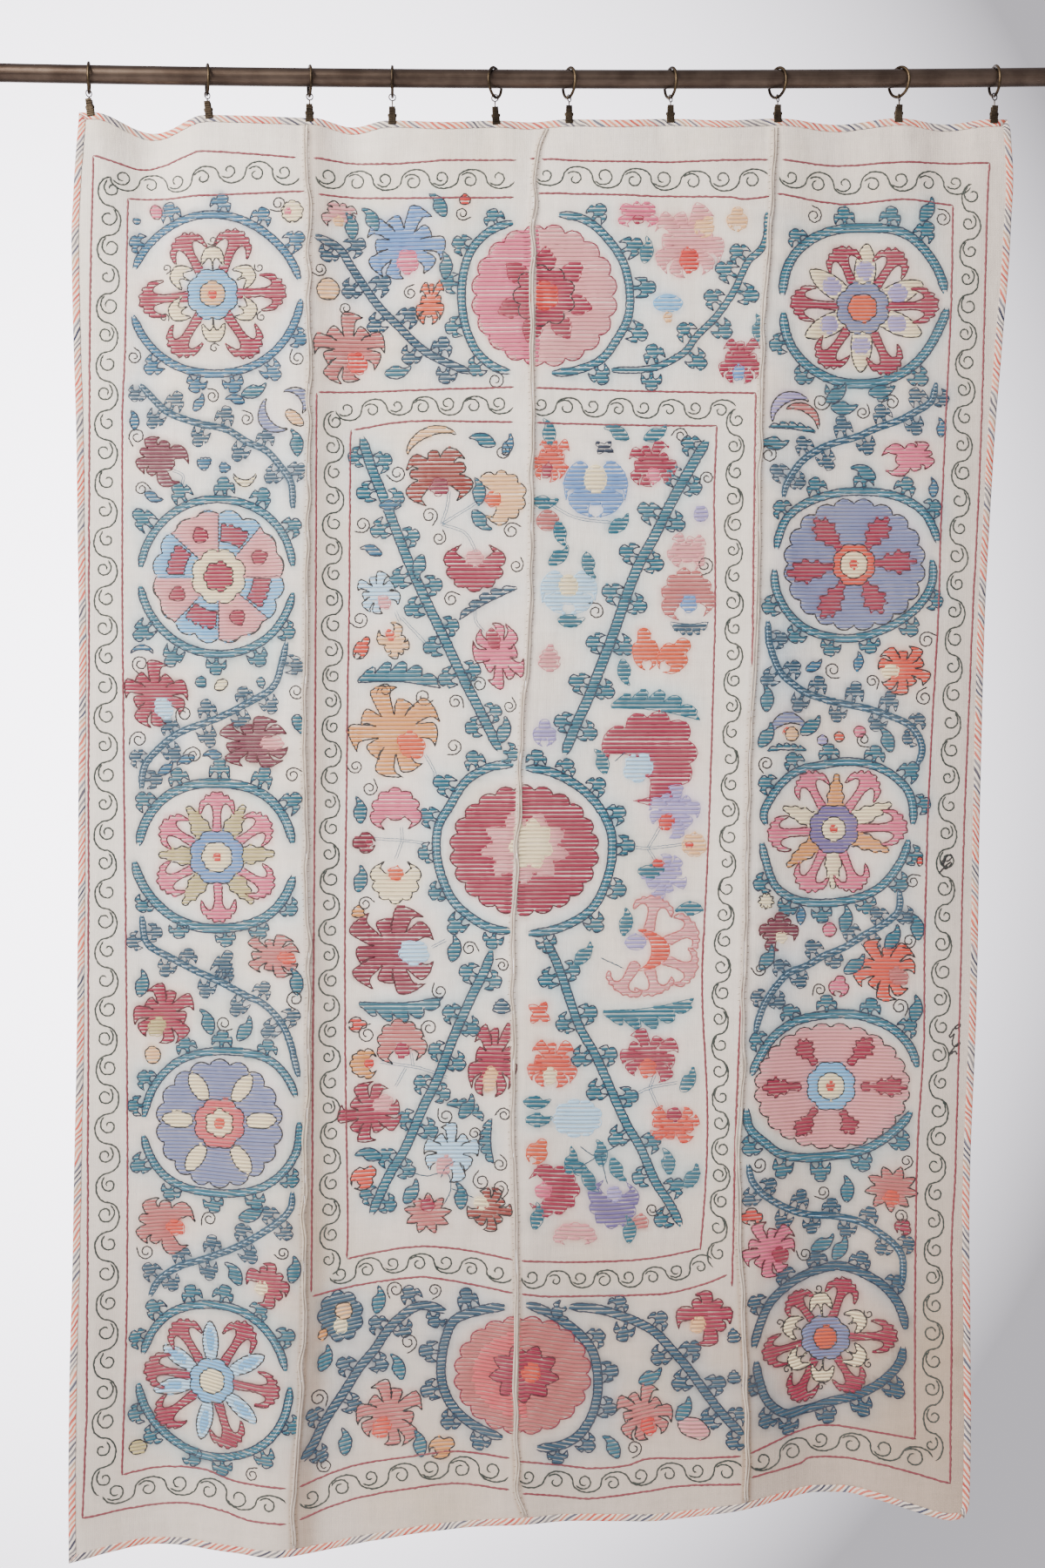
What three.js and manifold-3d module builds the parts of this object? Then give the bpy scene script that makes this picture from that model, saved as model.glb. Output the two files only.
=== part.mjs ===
// A suzani, an embroidered wall cloth, clipped to the rings of a curtain rod.
// Four hand-loomed strips are sewn side by side, bound all round with bias tape and hung from ten clip rings.
//
// Millimetres. +X runs along the rod to the right, +Y goes back towards the wall and +Z is up.
// The origin is on the rod's axis, above the middle of the cloth.
import * as THREE from "three";
import { mergeVertices } from "three/addons/utils/BufferGeometryUtils.js";
import Module from "manifold-3d";

const wasm = await Module();
wasm.setup();

// ---------------------------------------------------------------- driving sizes
const ROD_DIAMETER = 25.4;
const ROD_LENGTH = 1560;
const ROD_SIDES = 20;
const ROD_STEPS = 6;
const ROD_CHAMFER = 1.2;
const ROD_BOW = 4.0; // how far the rod's ends bow up, 600 mm out from its middle
const ROD_TILT = -2.5; // how far it climbs over those 600 mm
const BOW_REACH = 600;

const RING_OUTER = 43.2;
const RING_WIRE = 3.2;
const RING_STEPS = 16;
const EYE_OUTER = 10.6;
const EYE_WIRE = 1.3;
const EYE_STEPS = 10;
const WIRE_SIDES = 6;
const SHANK_IN_CLIP = 5; // how far the eye's shank reaches below the clip's top
const GAP = 0.4; // between pieces that touch on the real thing
const RING_GAP = 0.8; // between a ring and the rod, so that a turned ring clears it too

const CLIP_WIDTH = 10.8;
const CLIP_GRIP_WIDTH = 8.6;
const CLIP_HEIGHT = 24;
const CLIP_PLATE = 1.0;
const CLIP_GRIP_HEIGHT = 11;
const JAW_INSIDE = 2.35; // half the space between the jaws at their lips
const GRIP_INSIDE = 4.2; // half the space between the grips at their top
const WAIST_WIDER = 0.5; // how much wider half that space is at the pin than at the lips
const PIN_RADIUS = 1.3;
const EAR = { thick: 0.8, height: 5, bite: 0.1 }; // bite is how far an ear reaches into the plates
const HELD = 5.5; // how much of the cloth's top the jaws hold

const CLOTH = 1.5; // the cloth's thickness
const TAPE = { width: 9.6, thick: 0.8, space: 0.3, fold: 0.9 };
const EDGE_INSIDE = 1.3; // how far the cloth's raw edge lies inside the tape's fold
const SEAM_GAP = 0.3;
const SEAM_RIDGE = { height: 2.2, near: 4, nearShare: 0.45, width: 9 };

// The ten rings and clips, from the left. Hang is from the rod's axis down to the clip's top.
// Turned means about the vertical, in degrees, and leaning is in the cloth's plane.
const CLIPS = [
  { x: -597.6, hang: 34.2, ringTurned: 8, eyeTurned: 45, leaning: 8 },
  { x: -434.4, hang: 35.0, ringTurned: 13, eyeTurned: 48, leaning: 8 },
  { x: -293.4, hang: 37.5, ringTurned: 12, eyeTurned: 26, leaning: 0 },
  { x: -179.4, hang: 40.0, ringTurned: 3, eyeTurned: 18, leaning: 0 },
  { x: -37.8, hang: 39.3, ringTurned: -25, eyeTurned: -8, leaning: 4.5 },
  { x: 64.2, hang: 37.1, ringTurned: 24, eyeTurned: 58, leaning: 0 },
  { x: 204, hang: 36.3, ringTurned: 20, eyeTurned: 55, leaning: 0 },
  { x: 351.6, hang: 36.2, ringTurned: 30, eyeTurned: 62, leaning: 0 },
  { x: 519, hang: 36.9, ringTurned: 34, eyeTurned: 66, leaning: -3.5 },
  { x: 650.4, hang: 39.5, ringTurned: 10, eyeTurned: 32, leaning: -3.5 },
];
// Between each clip and the next, how far the top edge sags and how far it swings back (+) or forward (-).
const SWAGS = [
  { sag: 20, back: 26 },
  { sag: 1, back: -5 },
  { sag: 8, back: 11 },
  { sag: 3, back: -4 },
  { sag: 2, back: 4 },
  { sag: 2, back: -4 },
  { sag: 4, back: -6 },
  { sag: 6, back: 9 },
  { sag: 5, back: 9 },
];
const SWAG_FALL = 150; // how far down a swag's depth dies away
const SWAG_SHAPE = 1.7; // over 1, a swag leaves its clips gently
const CLIP_FLAT = 7.5; // the cloth is flat this far to each side of a clip's lips

// The outline and the seams as hung: x at some heights z, from the top down.
const LEFT_EDGE = [
  { z: -50, x: -611 },
  { z: -161, x: -619 },
  { z: -252, x: -621 },
  { z: -535, x: -614 },
  { z: -1018, x: -611.5 },
  { z: -1617, x: -617.5 },
  { z: -1858, x: -622 },
  { z: -2040, x: -621.5 },
];
const RIGHT_EDGE = [
  { z: -50, x: 666 },
  { z: -80, x: 673 },
  { z: -191, x: 674 },
  { z: -370, x: 661 },
  { z: -535, x: 649 },
  { z: -820, x: 636 },
  { z: -1287, x: 626 },
  { z: -1506, x: 616 },
  { z: -1727, x: 615 },
  { z: -1955, x: 613 },
  { z: -1978, x: 606 },
];
const SEAMS = [
  [
    { z: -50, x: -296.5 },
    { z: -442, x: -294 },
    { z: -970, x: -299 },
    { z: -1222, x: -294 },
    { z: -1570, x: -300 },
    { z: -1810, x: -304 },
    { z: -1930, x: -314 },
    { z: -2040, x: -313 },
  ],
  [
    { z: -50, x: 40 },
    { z: -106, x: 21 },
    { z: -262, x: 15.5 },
    { z: -610, x: 12 },
    { z: -802, x: 6 },
    { z: -970, x: -5 },
    { z: -1402, x: -13 },
    { z: -1690, x: -7 },
    { z: -1930, x: -7 },
    { z: -1990, x: 7 },
  ],
  [
    { z: -50, x: 348 },
    { z: -154, x: 343 },
    { z: -406, x: 329 },
    { z: -730, x: 321.5 },
    { z: -970, x: 310 },
    { z: -1390, x: 301 },
    { z: -1510, x: 295.5 },
    { z: -1810, x: 307 },
    { z: -1970, x: 307 },
  ],
];
// The hem's height, from left to right.
const HEM = [
  { x: -622, z: -2038.5 },
  { x: -557, z: -2026 },
  { x: -492, z: -2022 },
  { x: -400, z: -2029 },
  { x: -324, z: -2031 },
  { x: -204, z: -2014 },
  { x: -120, z: -2000 },
  { x: 37, z: -1986.5 },
  { x: 130, z: -1987 },
  { x: 221, z: -1981.5 },
  { x: 362, z: -1957 },
  { x: 424, z: -1950.5 },
  { x: 485, z: -1957 },
  { x: 577, z: -1980 },
  { x: 607, z: -1977 },
];
const TOP_MEAN = -58; // the cloth's nominal top and hem
const HEM_MEAN = -2000;

// Soft upright folds: where each runs, how far back (+) or forward (-) it stands and how wide it is.
const FOLDS = [
  { xTop: -640, xHem: -622, top: 0, middle: -3, hem: -16, width: 55 },
  { xTop: -520, xHem: -492, top: 6, middle: 4, hem: 12, width: 60 },
  { xTop: -296, xHem: -330, top: -5, middle: -9, hem: -15, width: 42 },
  { xTop: -215, xHem: -205, top: 4, middle: 6, hem: 5, width: 55 },
  { xTop: 20, xHem: -8, top: -3, middle: -7, hem: -9, width: 48 },
  { xTop: 150, xHem: 120, top: 2, middle: 4, hem: 2, width: 60 },
  { xTop: 343, xHem: 300, top: -4, middle: -9, hem: -10, width: 45 },
  { xTop: 470, xHem: 418, top: 3, middle: 5, hem: 15, width: 65 },
  { xTop: 690, xHem: 600, top: 2, middle: 7, hem: -13, width: 60 },
];
const FOLD_START = 70; // how far down from the top edge the folds come in
const SWELL = { height: 1.6, across: 210, down: 520, slant: 0.35 };

// The sheet's faces: the widest column, and the rows as distances down from the tape.
const COLUMN_MAX = 46;
const ROWS_DOWN = [18, 45, 85, 140, 215, 310];
const ROW_MAX = 115;
const ROWS_UP = [240, 145, 65, 16];

// ---------------------------------------------------------------- curves and the hung surface
const mix = (a, b, t) => a + (b - a) * t;
const clamp01 = (t) => Math.min(1, Math.max(0, t));
const easeInOut = (t) => t * t * (3 - 2 * t);
const radians = (degrees) => (degrees * Math.PI) / 180;

// A smooth curve through the rows of a table: the value of one column at a place in another.
function through(rows, place, value, at) {
  const ordered =
    rows[0][place] < rows.at(-1)[place] ? rows : [...rows].reverse();
  const last = ordered.length - 1;
  const here = Math.min(
    Math.max(ordered[0][place], at),
    ordered[last][place],
  );
  let i = 0;
  while (i < last - 1 && here > ordered[i + 1][place]) i++;
  const slope = (k) => {
    const a = ordered[Math.max(0, k - 1)];
    const b = ordered[Math.min(last, k + 1)];
    return (b[value] - a[value]) / (b[place] - a[place]);
  };
  const span = ordered[i + 1][place] - ordered[i][place];
  const t = (here - ordered[i][place]) / span;
  const start = ordered[i][value] + slope(i) * span * t;
  const end = ordered[i + 1][value] - slope(i + 1) * span * (1 - t);
  return mix(start, end, easeInOut(t));
}

// The rod's axis bows up a little towards its ends.
const rodHeight = (x) =>
  ROD_BOW * (x / BOW_REACH) ** 2 + ROD_TILT * (x / BOW_REACH);

// Where each clip's lips hold the cloth's top edge.
const GRIPS = CLIPS.map((clip) => ({
  x: clip.x + (CLIP_HEIGHT - HELD / 2) * Math.sin(radians(clip.leaning)),
  z: rodHeight(clip.x) - clip.hang - CLIP_HEIGHT + HELD,
}));

// Where x lies from one grip to the next, and how much of that swag's full swing it has.
function swagAt(x) {
  const next = GRIPS.findIndex((grip) => x < grip.x);
  const i = Math.min(
    Math.max(next < 0 ? GRIPS.length - 2 : next - 1, 0),
    GRIPS.length - 2,
  );
  const from = GRIPS[i].x + CLIP_FLAT;
  const to = GRIPS[i + 1].x - CLIP_FLAT;
  const t = clamp01((x - from) / (to - from));
  const share = Math.sin(Math.PI * t) ** SWAG_SHAPE;
  return { swag: SWAGS[i], share, height: mix(GRIPS[i].z, GRIPS[i + 1].z, t) };
}

function topEdge(x) {
  const { swag, share, height } = swagAt(x);
  return height - swag.sag * share;
}
const hemEdge = (x) => through(HEM, "x", "z", x);

// The upright lines of the cloth, from its left edge over the three seams to its right edge.
const UPRIGHTS = [LEFT_EDGE, ...SEAMS, RIGHT_EDGE];
const uprightAt = (k, z) => through(UPRIGHTS[k], "z", "x", z);

// How far the cloth stands back (+) or forward (-) from the plane under the rod.
function depthAt(x, z) {
  const down = Math.max(0, topEdge(x) - z);
  const lower = clamp01((TOP_MEAN - z) / (TOP_MEAN - HEM_MEAN));
  const { swag, share } = swagAt(x);
  let y = swag.back * share * Math.exp(-((down / SWAG_FALL) ** 2));
  const started = 1 - Math.exp(-((down / FOLD_START) ** 2));
  for (const fold of FOLDS) {
    const across = (x - mix(fold.xTop, fold.xHem, lower)) / fold.width;
    const stands =
      lower < 0.5
        ? mix(fold.top, fold.middle, easeInOut(lower * 2))
        : mix(fold.middle, fold.hem, easeInOut(lower * 2 - 1));
    y += started * stands * Math.exp(-across * across);
  }
  const wave =
    Math.sin((2 * Math.PI * (x + SWELL.slant * z)) / SWELL.across) *
    Math.cos((2 * Math.PI * z) / SWELL.down);
  y += started * SWELL.height * wave;
  return y - seamRidge(x, z, down);
}

// Sewn allowances stand up as a soft ridge on each seam, between the tapes at the top and the hem.
function seamRidge(x, z, down) {
  const up = z - hemEdge(x);
  const fade = easeInOut(
    clamp01(Math.min(down - TAPE.width, up - TAPE.width) / TAPE.width),
  );
  let raised = 0;
  for (const k of [1, 2, 3]) {
    const off = Math.abs(x - uprightAt(k, z));
    const { near, nearShare, width, height } = SEAM_RIDGE;
    if (off < near) raised = height * mix(1, nearShare, off / near);
    else if (off < width)
      raised = height * mix(nearShare, 0, (off - near) / (width - near));
  }
  return raised * fade;
}

// ---------------------------------------------------------------- the grid that all cloth pieces share
// A panel's columns, as distances from its left upright at the top, with extra ones at clips, tape and seams.
function columnsOf(panel) {
  const left = uprightAt(panel, TOP_MEAN);
  const right = uprightAt(panel + 1, TOP_MEAN);
  const insideLeft =
    panel === 0 ? [TAPE.width] : [SEAM_RIDGE.near, SEAM_RIDGE.width];
  const insideRight =
    panel === 3 ? [TAPE.width] : [SEAM_RIDGE.near, SEAM_RIDGE.width];
  const fixed = [
    left,
    right,
    ...insideLeft.map((d) => left + d),
    ...insideRight.map((d) => right - d),
  ];
  const closest = CLIP_FLAT / 2;
  for (const grip of GRIPS)
    for (const x of [grip.x - CLIP_FLAT, grip.x + CLIP_FLAT]) {
      const clear = fixed.every((other) => Math.abs(other - x) > closest);
      if (x > left && x < right && clear) fixed.push(x);
    }
  fixed.sort((a, b) => a - b);
  const places = [];
  fixed.slice(1).forEach((x, i) => {
    const parts = Math.ceil((x - fixed[i]) / COLUMN_MAX);
    for (let k = 0; k < parts; k++) places.push(mix(fixed[i], x, k / parts));
  });
  places.push(right);
  return places.map((x) => ({ fromLeft: x - left, width: right - left }));
}

// The rows between the top tape and the hem tape, as shares of the height between them.
function rowShares() {
  const height = TOP_MEAN - HEM_MEAN - 2 * TAPE.width;
  const down = ROWS_DOWN.map((d) => d / height);
  const up = ROWS_UP.map((d) => 1 - d / height);
  const from = down.at(-1);
  const steps = Math.ceil(((up[0] - from) * height) / ROW_MAX);
  const between = [];
  for (let k = 1; k < steps; k++) between.push(mix(from, up[0], k / steps));
  return [0, ...down, ...between, ...up, 1];
}

// x of a column at height z: an end column keeps its distance from its own upright, the others share the rest.
function columnX(panel, column, z) {
  const left = uprightAt(panel, z);
  const right = uprightAt(panel + 1, z);
  const { fromLeft, width } = column;
  const fromRight = width - fromLeft;
  const kept = Math.max(TAPE.width, SEAM_RIDGE.width) + 0.01;
  if (fromLeft <= kept) return left + fromLeft;
  if (fromRight <= kept) return right - fromRight;
  return mix(
    left + kept,
    right - kept,
    (fromLeft - kept) / (width - 2 * kept),
  );
}

// The point of the cloth's middle surface at a panel's column and a row. Row -1 is the top edge and row -2 the hem.
const TOP_ROW = -1;
const HEM_ROW = -2;
function surfacePoint(panel, column, row) {
  const heightAt = (x) => {
    if (row === TOP_ROW) return topEdge(x);
    if (row === HEM_ROW) return hemEdge(x);
    return mix(topEdge(x) - TAPE.width, hemEdge(x) + TAPE.width, row);
  };
  const nominal =
    row === TOP_ROW
      ? TOP_MEAN
      : row === HEM_ROW
        ? HEM_MEAN
        : mix(TOP_MEAN, HEM_MEAN, row);
  let x = columnX(panel, column, nominal);
  for (let k = 0; k < 3; k++) x = columnX(panel, column, heightAt(x));
  const z = heightAt(x);
  return new THREE.Vector3(x, depthAt(x, z), z);
}

const ROWS = [TOP_ROW, ...rowShares(), HEM_ROW];
const PANELS = [0, 1, 2, 3];
const GRIDS = PANELS.map((panel) =>
  columnsOf(panel).map((column) =>
    ROWS.map((row) => surfacePoint(panel, column, row)),
  ),
);

// The tape holds the cloth's border straight, so a border's second point lies between its neighbours.
function straighten(edge, second, third) {
  const along = edge.distanceTo(second) / edge.distanceTo(third);
  second.lerpVectors(edge, third, along);
}
ROWS.forEach((_, r) => {
  const [first, final] = [GRIDS[0], GRIDS[3]];
  straighten(first[0][r], first[1][r], first[2][r]);
  straighten(final.at(-1)[r], final.at(-2)[r], final.at(-3)[r]);
});
for (const column of [...GRIDS[0].slice(0, 3), ...GRIDS[3].slice(-3)]) {
  straighten(column[0], column[1], column[2]);
  straighten(column.at(-1), column.at(-2), column.at(-3));
}

// ---------------------------------------------------------------- closed solids from points
// A geometry from points and triangles, given as lists.
function geometryOf(points, triangles) {
  const geometry = new THREE.BufferGeometry();
  geometry.setAttribute(
    "position",
    new THREE.Float32BufferAttribute(
      points.flatMap((p) => [p.x, p.y, p.z]),
      3,
    ),
  );
  geometry.setIndex(triangles.flat());
  geometry.computeVertexNormals();
  return geometry;
}

// A skin lofted through equal sections and closed at both ends. Each section's points run the same way round.
// The sides named in otherWay are split along their other diagonal.
function loft(sections, capTriangles, otherWay = []) {
  const size = sections[0].length;
  const triangles = [];
  for (let i = 0; i + 1 < sections.length; i++)
    for (let k = 0; k < size; k++) {
      const a = i * size + k;
      const b = i * size + ((k + 1) % size);
      const [c, d] = [a + size, b + size];
      if (otherWay.includes(k)) triangles.push([a, b, d], [a, d, c]);
      else triangles.push([a, b, c], [b, d, c]);
    }
  const end = (sections.length - 1) * size;
  for (const [a, b, c] of capTriangles) {
    triangles.push([c, b, a]);
    triangles.push([end + a, end + b, end + c]);
  }
  return geometryOf(sections.flat(), triangles);
}

const shifted = (p, y) => new THREE.Vector3(p.x, p.y + y, p.z);

// A sheet of the cloth's thickness on a grid of columns and rows.
function sheetOf(grid) {
  const half = CLOTH / 2;
  const columns = grid.length;
  const rows = grid[0].length;
  const points = [
    ...grid.flat().map((p) => shifted(p, -half)),
    ...grid.flat().map((p) => shifted(p, half)),
  ];
  const back = columns * rows;
  const at = (c, r) => c * rows + r;
  const triangles = [];
  for (let c = 0; c + 1 < columns; c++)
    for (let r = 0; r + 1 < rows; r++) {
      const [a, b, d, e] = [at(c, r), at(c + 1, r), at(c, r + 1), at(c + 1, r + 1)];
      triangles.push([a, d, b], [b, d, e]);
      triangles.push([back + a, back + b, back + d]);
      triangles.push([back + b, back + e, back + d]);
    }
  const rim = (a, b) =>
    triangles.push([a, b, back + a], [b, back + b, back + a]);
  for (let c = 0; c + 1 < columns; c++) {
    rim(at(c, 0), at(c + 1, 0));
    rim(at(c + 1, rows - 1), at(c, rows - 1));
  }
  for (let r = 0; r + 1 < rows; r++) {
    rim(at(0, r + 1), at(0, r));
    rim(at(columns - 1, r), at(columns - 1, r + 1));
  }
  return geometryOf(points, triangles);
}

// ---------------------------------------------------------------- the four strips of cloth
// A strip's own grid: its raw edges lie inside the tape, and half a gap short of each seam.
function stripGrid(panel) {
  const grid = GRIDS[panel].map((column) => column.map((p) => p.clone()));
  const inside = EDGE_INSIDE / TAPE.width;
  const last = ROWS.length - 1;
  for (const column of grid) {
    column[0].lerp(column[1], inside);
    column[last].lerp(column[last - 1], inside);
  }
  const first = grid[0];
  const final = grid.at(-1);
  for (let r = 0; r <= last; r++) {
    if (panel === 0) first[r].lerp(grid[1][r], inside);
    else first[r].x += SEAM_GAP / 2;
    if (panel === 3) final[r].lerp(grid.at(-2)[r], inside);
    else final[r].x -= SEAM_GAP / 2;
  }
  return grid;
}

// ---------------------------------------------------------------- the bias tape round the edge
// The tape's section at one station: a fold round the cloth's edge with a flap on each face.
function tapeSection(outer, inner) {
  const flap = CLOTH / 2 + TAPE.space;
  const skin = flap + TAPE.thick;
  const at = (inwards, y) =>
    shifted(outer.clone().lerp(inner, inwards / TAPE.width), y);
  return [
    at(0, -skin),
    at(0, skin),
    at(TAPE.width, skin),
    at(TAPE.width, flap),
    at(TAPE.fold, flap),
    at(TAPE.fold, -flap),
    at(TAPE.width, -flap),
    at(TAPE.width, -skin),
  ];
}
const TAPE_CAP = [
  [0, 1, 4],
  [0, 4, 5],
  [1, 2, 4],
  [2, 3, 4],
  [0, 5, 7],
  [5, 6, 7],
];

// The tape is faceted as the cloth under it is, so each side is split on one diagonal or the other.
const GOING_IN = [1, 5];
const GOING_OUT = [3, 7];

// One side's tape: its stations are pairs of points, and its mitred ends stand off from the next side's.
function tapeOf(stations, along, flipped, otherWay) {
  const standOff = along.clone().multiplyScalar(TAPE.space);
  const pairs = stations.map(([outer, inner]) => [outer.clone(), inner.clone()]);
  for (const point of pairs[0]) point.add(standOff);
  for (const point of pairs.at(-1)) point.sub(standOff);
  const sections = pairs.map(([outer, inner]) => tapeSection(outer, inner));
  return loft(flipped ? sections.reverse() : sections, TAPE_CAP, otherWay);
}

// The whole cloth's columns from left to right, each seam once.
const COLUMNS = GRIDS.flatMap((grid, panel) => grid.slice(panel === 0 ? 0 : 1));

function acrossStations(edgeRow, innerRow) {
  const last = COLUMNS.length - 1;
  const stations = COLUMNS.map((column) => [column[edgeRow], column[innerRow]]);
  stations[0][1] = COLUMNS[1][innerRow];
  stations[last][1] = COLUMNS[last - 1][innerRow];
  return stations.filter((_, i) => i !== 1 && i !== last - 1);
}

function uprightStations(edgeColumn, innerColumn) {
  const last = ROWS.length - 1;
  const stations = ROWS.map((_, r) => [edgeColumn[r], innerColumn[r]]);
  stations[0][1] = innerColumn[1];
  stations[last][1] = innerColumn[last - 1];
  return stations.filter((_, i) => i !== 1 && i !== last - 1);
}

// ---------------------------------------------------------------- rod, rings, eyes and clips
function rodGeometry() {
  const radius = ROD_DIAMETER / 2;
  const ends = ROD_LENGTH / 2;
  const stations = [{ x: -ends, r: radius - ROD_CHAMFER }];
  for (let k = 0; k <= ROD_STEPS; k++)
    stations.push({
      x: mix(-ends + ROD_CHAMFER, ends - ROD_CHAMFER, k / ROD_STEPS),
      r: radius,
    });
  stations.push({ x: ends, r: radius - ROD_CHAMFER });
  const sections = stations.map(({ x, r }) =>
    Array.from({ length: ROD_SIDES }, (_, k) => {
      const turn = (2 * Math.PI * k) / ROD_SIDES;
      return new THREE.Vector3(
        x,
        r * Math.cos(turn),
        rodHeight(x) + r * Math.sin(turn),
      );
    }),
  );
  const fan = Array.from({ length: ROD_SIDES - 2 }, (_, k) => [0, k + 1, k + 2]);
  return loft(sections, fan);
}

// A closed geometry as a manifold solid, and back.
function solidOf(geometry) {
  const bare = geometry.index ? geometry.toNonIndexed() : geometry.clone();
  bare.deleteAttribute("normal");
  bare.deleteAttribute("uv");
  const merged = mergeVertices(bare, 1e-4);
  return new wasm.Manifold(
    new wasm.Mesh({
      numProp: 3,
      vertProperties: new Float32Array(merged.attributes.position.array),
      triVerts: new Uint32Array(merged.index.array),
    }),
  );
}
function joined(geometries) {
  const whole = geometries.map(solidOf).reduce((a, b) => a.add(b));
  const mesh = whole.getMesh();
  const geometry = new THREE.BufferGeometry();
  geometry.setAttribute(
    "position",
    new THREE.BufferAttribute(mesh.vertProperties, 3),
  );
  geometry.setIndex(new THREE.BufferAttribute(mesh.triVerts, 1));
  geometry.computeVertexNormals();
  return geometry;
}

const RING_RADIUS = (RING_OUTER - RING_WIRE) / 2;
const RING_HANG = RING_RADIUS - RING_WIRE / 2 - RING_GAP - ROD_DIAMETER / 2;

// A ring in its own upright plane, whose normal is +X before it is turned.
function ringGeometry() {
  return new THREE.TorusGeometry(
    RING_RADIUS,
    RING_WIRE / 2,
    WIRE_SIDES,
    RING_STEPS,
  ).rotateY(Math.PI / 2);
}

const EYE_RADIUS = (EYE_OUTER - EYE_WIRE) / 2;
const EYE_HANG =
  RING_HANG + RING_RADIUS - RING_WIRE / 2 - GAP + EYE_RADIUS - EYE_WIRE / 2;

// A wire loop that faces the front before it is turned, with its shank down into the clip.
function eyeGeometry(clipTop) {
  const wire = EYE_WIRE / 2;
  const loop = new THREE.TorusGeometry(EYE_RADIUS, wire, WIRE_SIDES, EYE_STEPS);
  loop.rotateX(Math.PI / 2);
  const length = clipTop + SHANK_IN_CLIP - EYE_HANG - EYE_RADIUS;
  const shank = new THREE.CylinderGeometry(wire, wire, length, WIRE_SIDES);
  shank.rotateX(Math.PI / 2).translate(0, 0, -EYE_RADIUS - length / 2);
  return joined([loop, shank]);
}

// One pressed plate of the clip, from its lip up to its grip, as a side view drawn out to its width.
function clipPlate(side) {
  const waist = -CLIP_GRIP_HEIGHT; // the grip's foot, from the clip's top
  const jaw = [
    [JAW_INSIDE, -CLIP_HEIGHT],
    [JAW_INSIDE, -CLIP_HEIGHT + HELD + 1],
    [JAW_INSIDE + WAIST_WIDER, waist + EAR.height / 2],
  ];
  const grip = [
    [JAW_INSIDE + WAIST_WIDER, waist - 1],
    [GRIP_INSIDE, 0],
  ];
  const drawnOut = (line, width) => {
    const outside = line.map(([y, z]) => [y + CLIP_PLATE, z]).reverse();
    const shape = new THREE.Shape(
      [...line, ...outside].map(([y, z]) => new THREE.Vector2(side * y, z)),
    );
    const plate = new THREE.ExtrudeGeometry(shape, {
      depth: width,
      bevelEnabled: false,
    });
    // The side view's axes are Y and Z, and it is drawn out along X.
    plate.applyMatrix4(
      new THREE.Matrix4().makeBasis(
        new THREE.Vector3(0, 1, 0),
        new THREE.Vector3(0, 0, 1),
        new THREE.Vector3(1, 0, 0),
      ),
    );
    return plate.translate(-width / 2, 0, 0);
  };
  return [drawnOut(jaw, CLIP_WIDTH), drawnOut(grip, CLIP_GRIP_WIDTH)];
}

// The clip hangs from its top: two plates, the ears that join them and the pin between the ears.
function clipGeometry() {
  const ear = (side) =>
    new THREE.BoxGeometry(
      EAR.thick,
      2 * (JAW_INSIDE + CLIP_PLATE),
      EAR.height,
    ).translate(
      side * (CLIP_WIDTH / 2 + EAR.thick / 2 - EAR.bite),
      0,
      -CLIP_GRIP_HEIGHT,
    );
  const length = CLIP_WIDTH + EAR.thick;
  const pin = new THREE.CylinderGeometry(
    PIN_RADIUS,
    PIN_RADIUS,
    length,
    WIRE_SIDES,
  )
    .rotateZ(Math.PI / 2)
    .translate(0, 0, -CLIP_GRIP_HEIGHT);
  return joined([...clipPlate(1), ...clipPlate(-1), ear(1), ear(-1), pin]);
}

// ---------------------------------------------------------------- materials
const bronze = new THREE.MeshStandardMaterial({
  color: 0x5b4636,
  metalness: 0.9,
  roughness: 0.42,
});
const brass = new THREE.MeshStandardMaterial({
  color: 0x7d6a4c,
  metalness: 0.95,
  roughness: 0.38,
});
const cotton = new THREE.MeshStandardMaterial({
  color: 0xe4ded4,
  metalness: 0,
  roughness: 0.92,
});
const stripedTape = new THREE.MeshStandardMaterial({
  color: 0xe0b9a8,
  metalness: 0,
  roughness: 0.9,
});

// ---------------------------------------------------------------- the object
const suzani = new THREE.Group();

function place(name, geometry, material, parent = suzani) {
  const mesh = new THREE.Mesh(geometry, material);
  mesh.name = name;
  parent.add(mesh);
  return mesh;
}

place("rod", rodGeometry(), bronze);

CLIPS.forEach((clip, i) => {
  const number = String(i + 1).padStart(2, "0");
  const hung = new THREE.Group();
  hung.position.set(clip.x, 0, rodHeight(clip.x));
  suzani.add(hung);
  const ring = place(`ring_${number}`, ringGeometry(), brass, hung);
  ring.position.z = -RING_HANG;
  ring.rotation.z = radians(clip.ringTurned);
  const eye = place(`eye_${number}`, eyeGeometry(clip.hang), brass, hung);
  eye.position.z = -EYE_HANG;
  eye.rotation.z = radians(clip.eyeTurned);
  const jaws = place(`clip_${number}`, clipGeometry(), brass, hung);
  jaws.position.z = -clip.hang;
  jaws.rotation.y = -radians(clip.leaning);
});

for (const panel of PANELS)
  place(`panel_${panel + 1}`, sheetOf(stripGrid(panel)), cotton);

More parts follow.
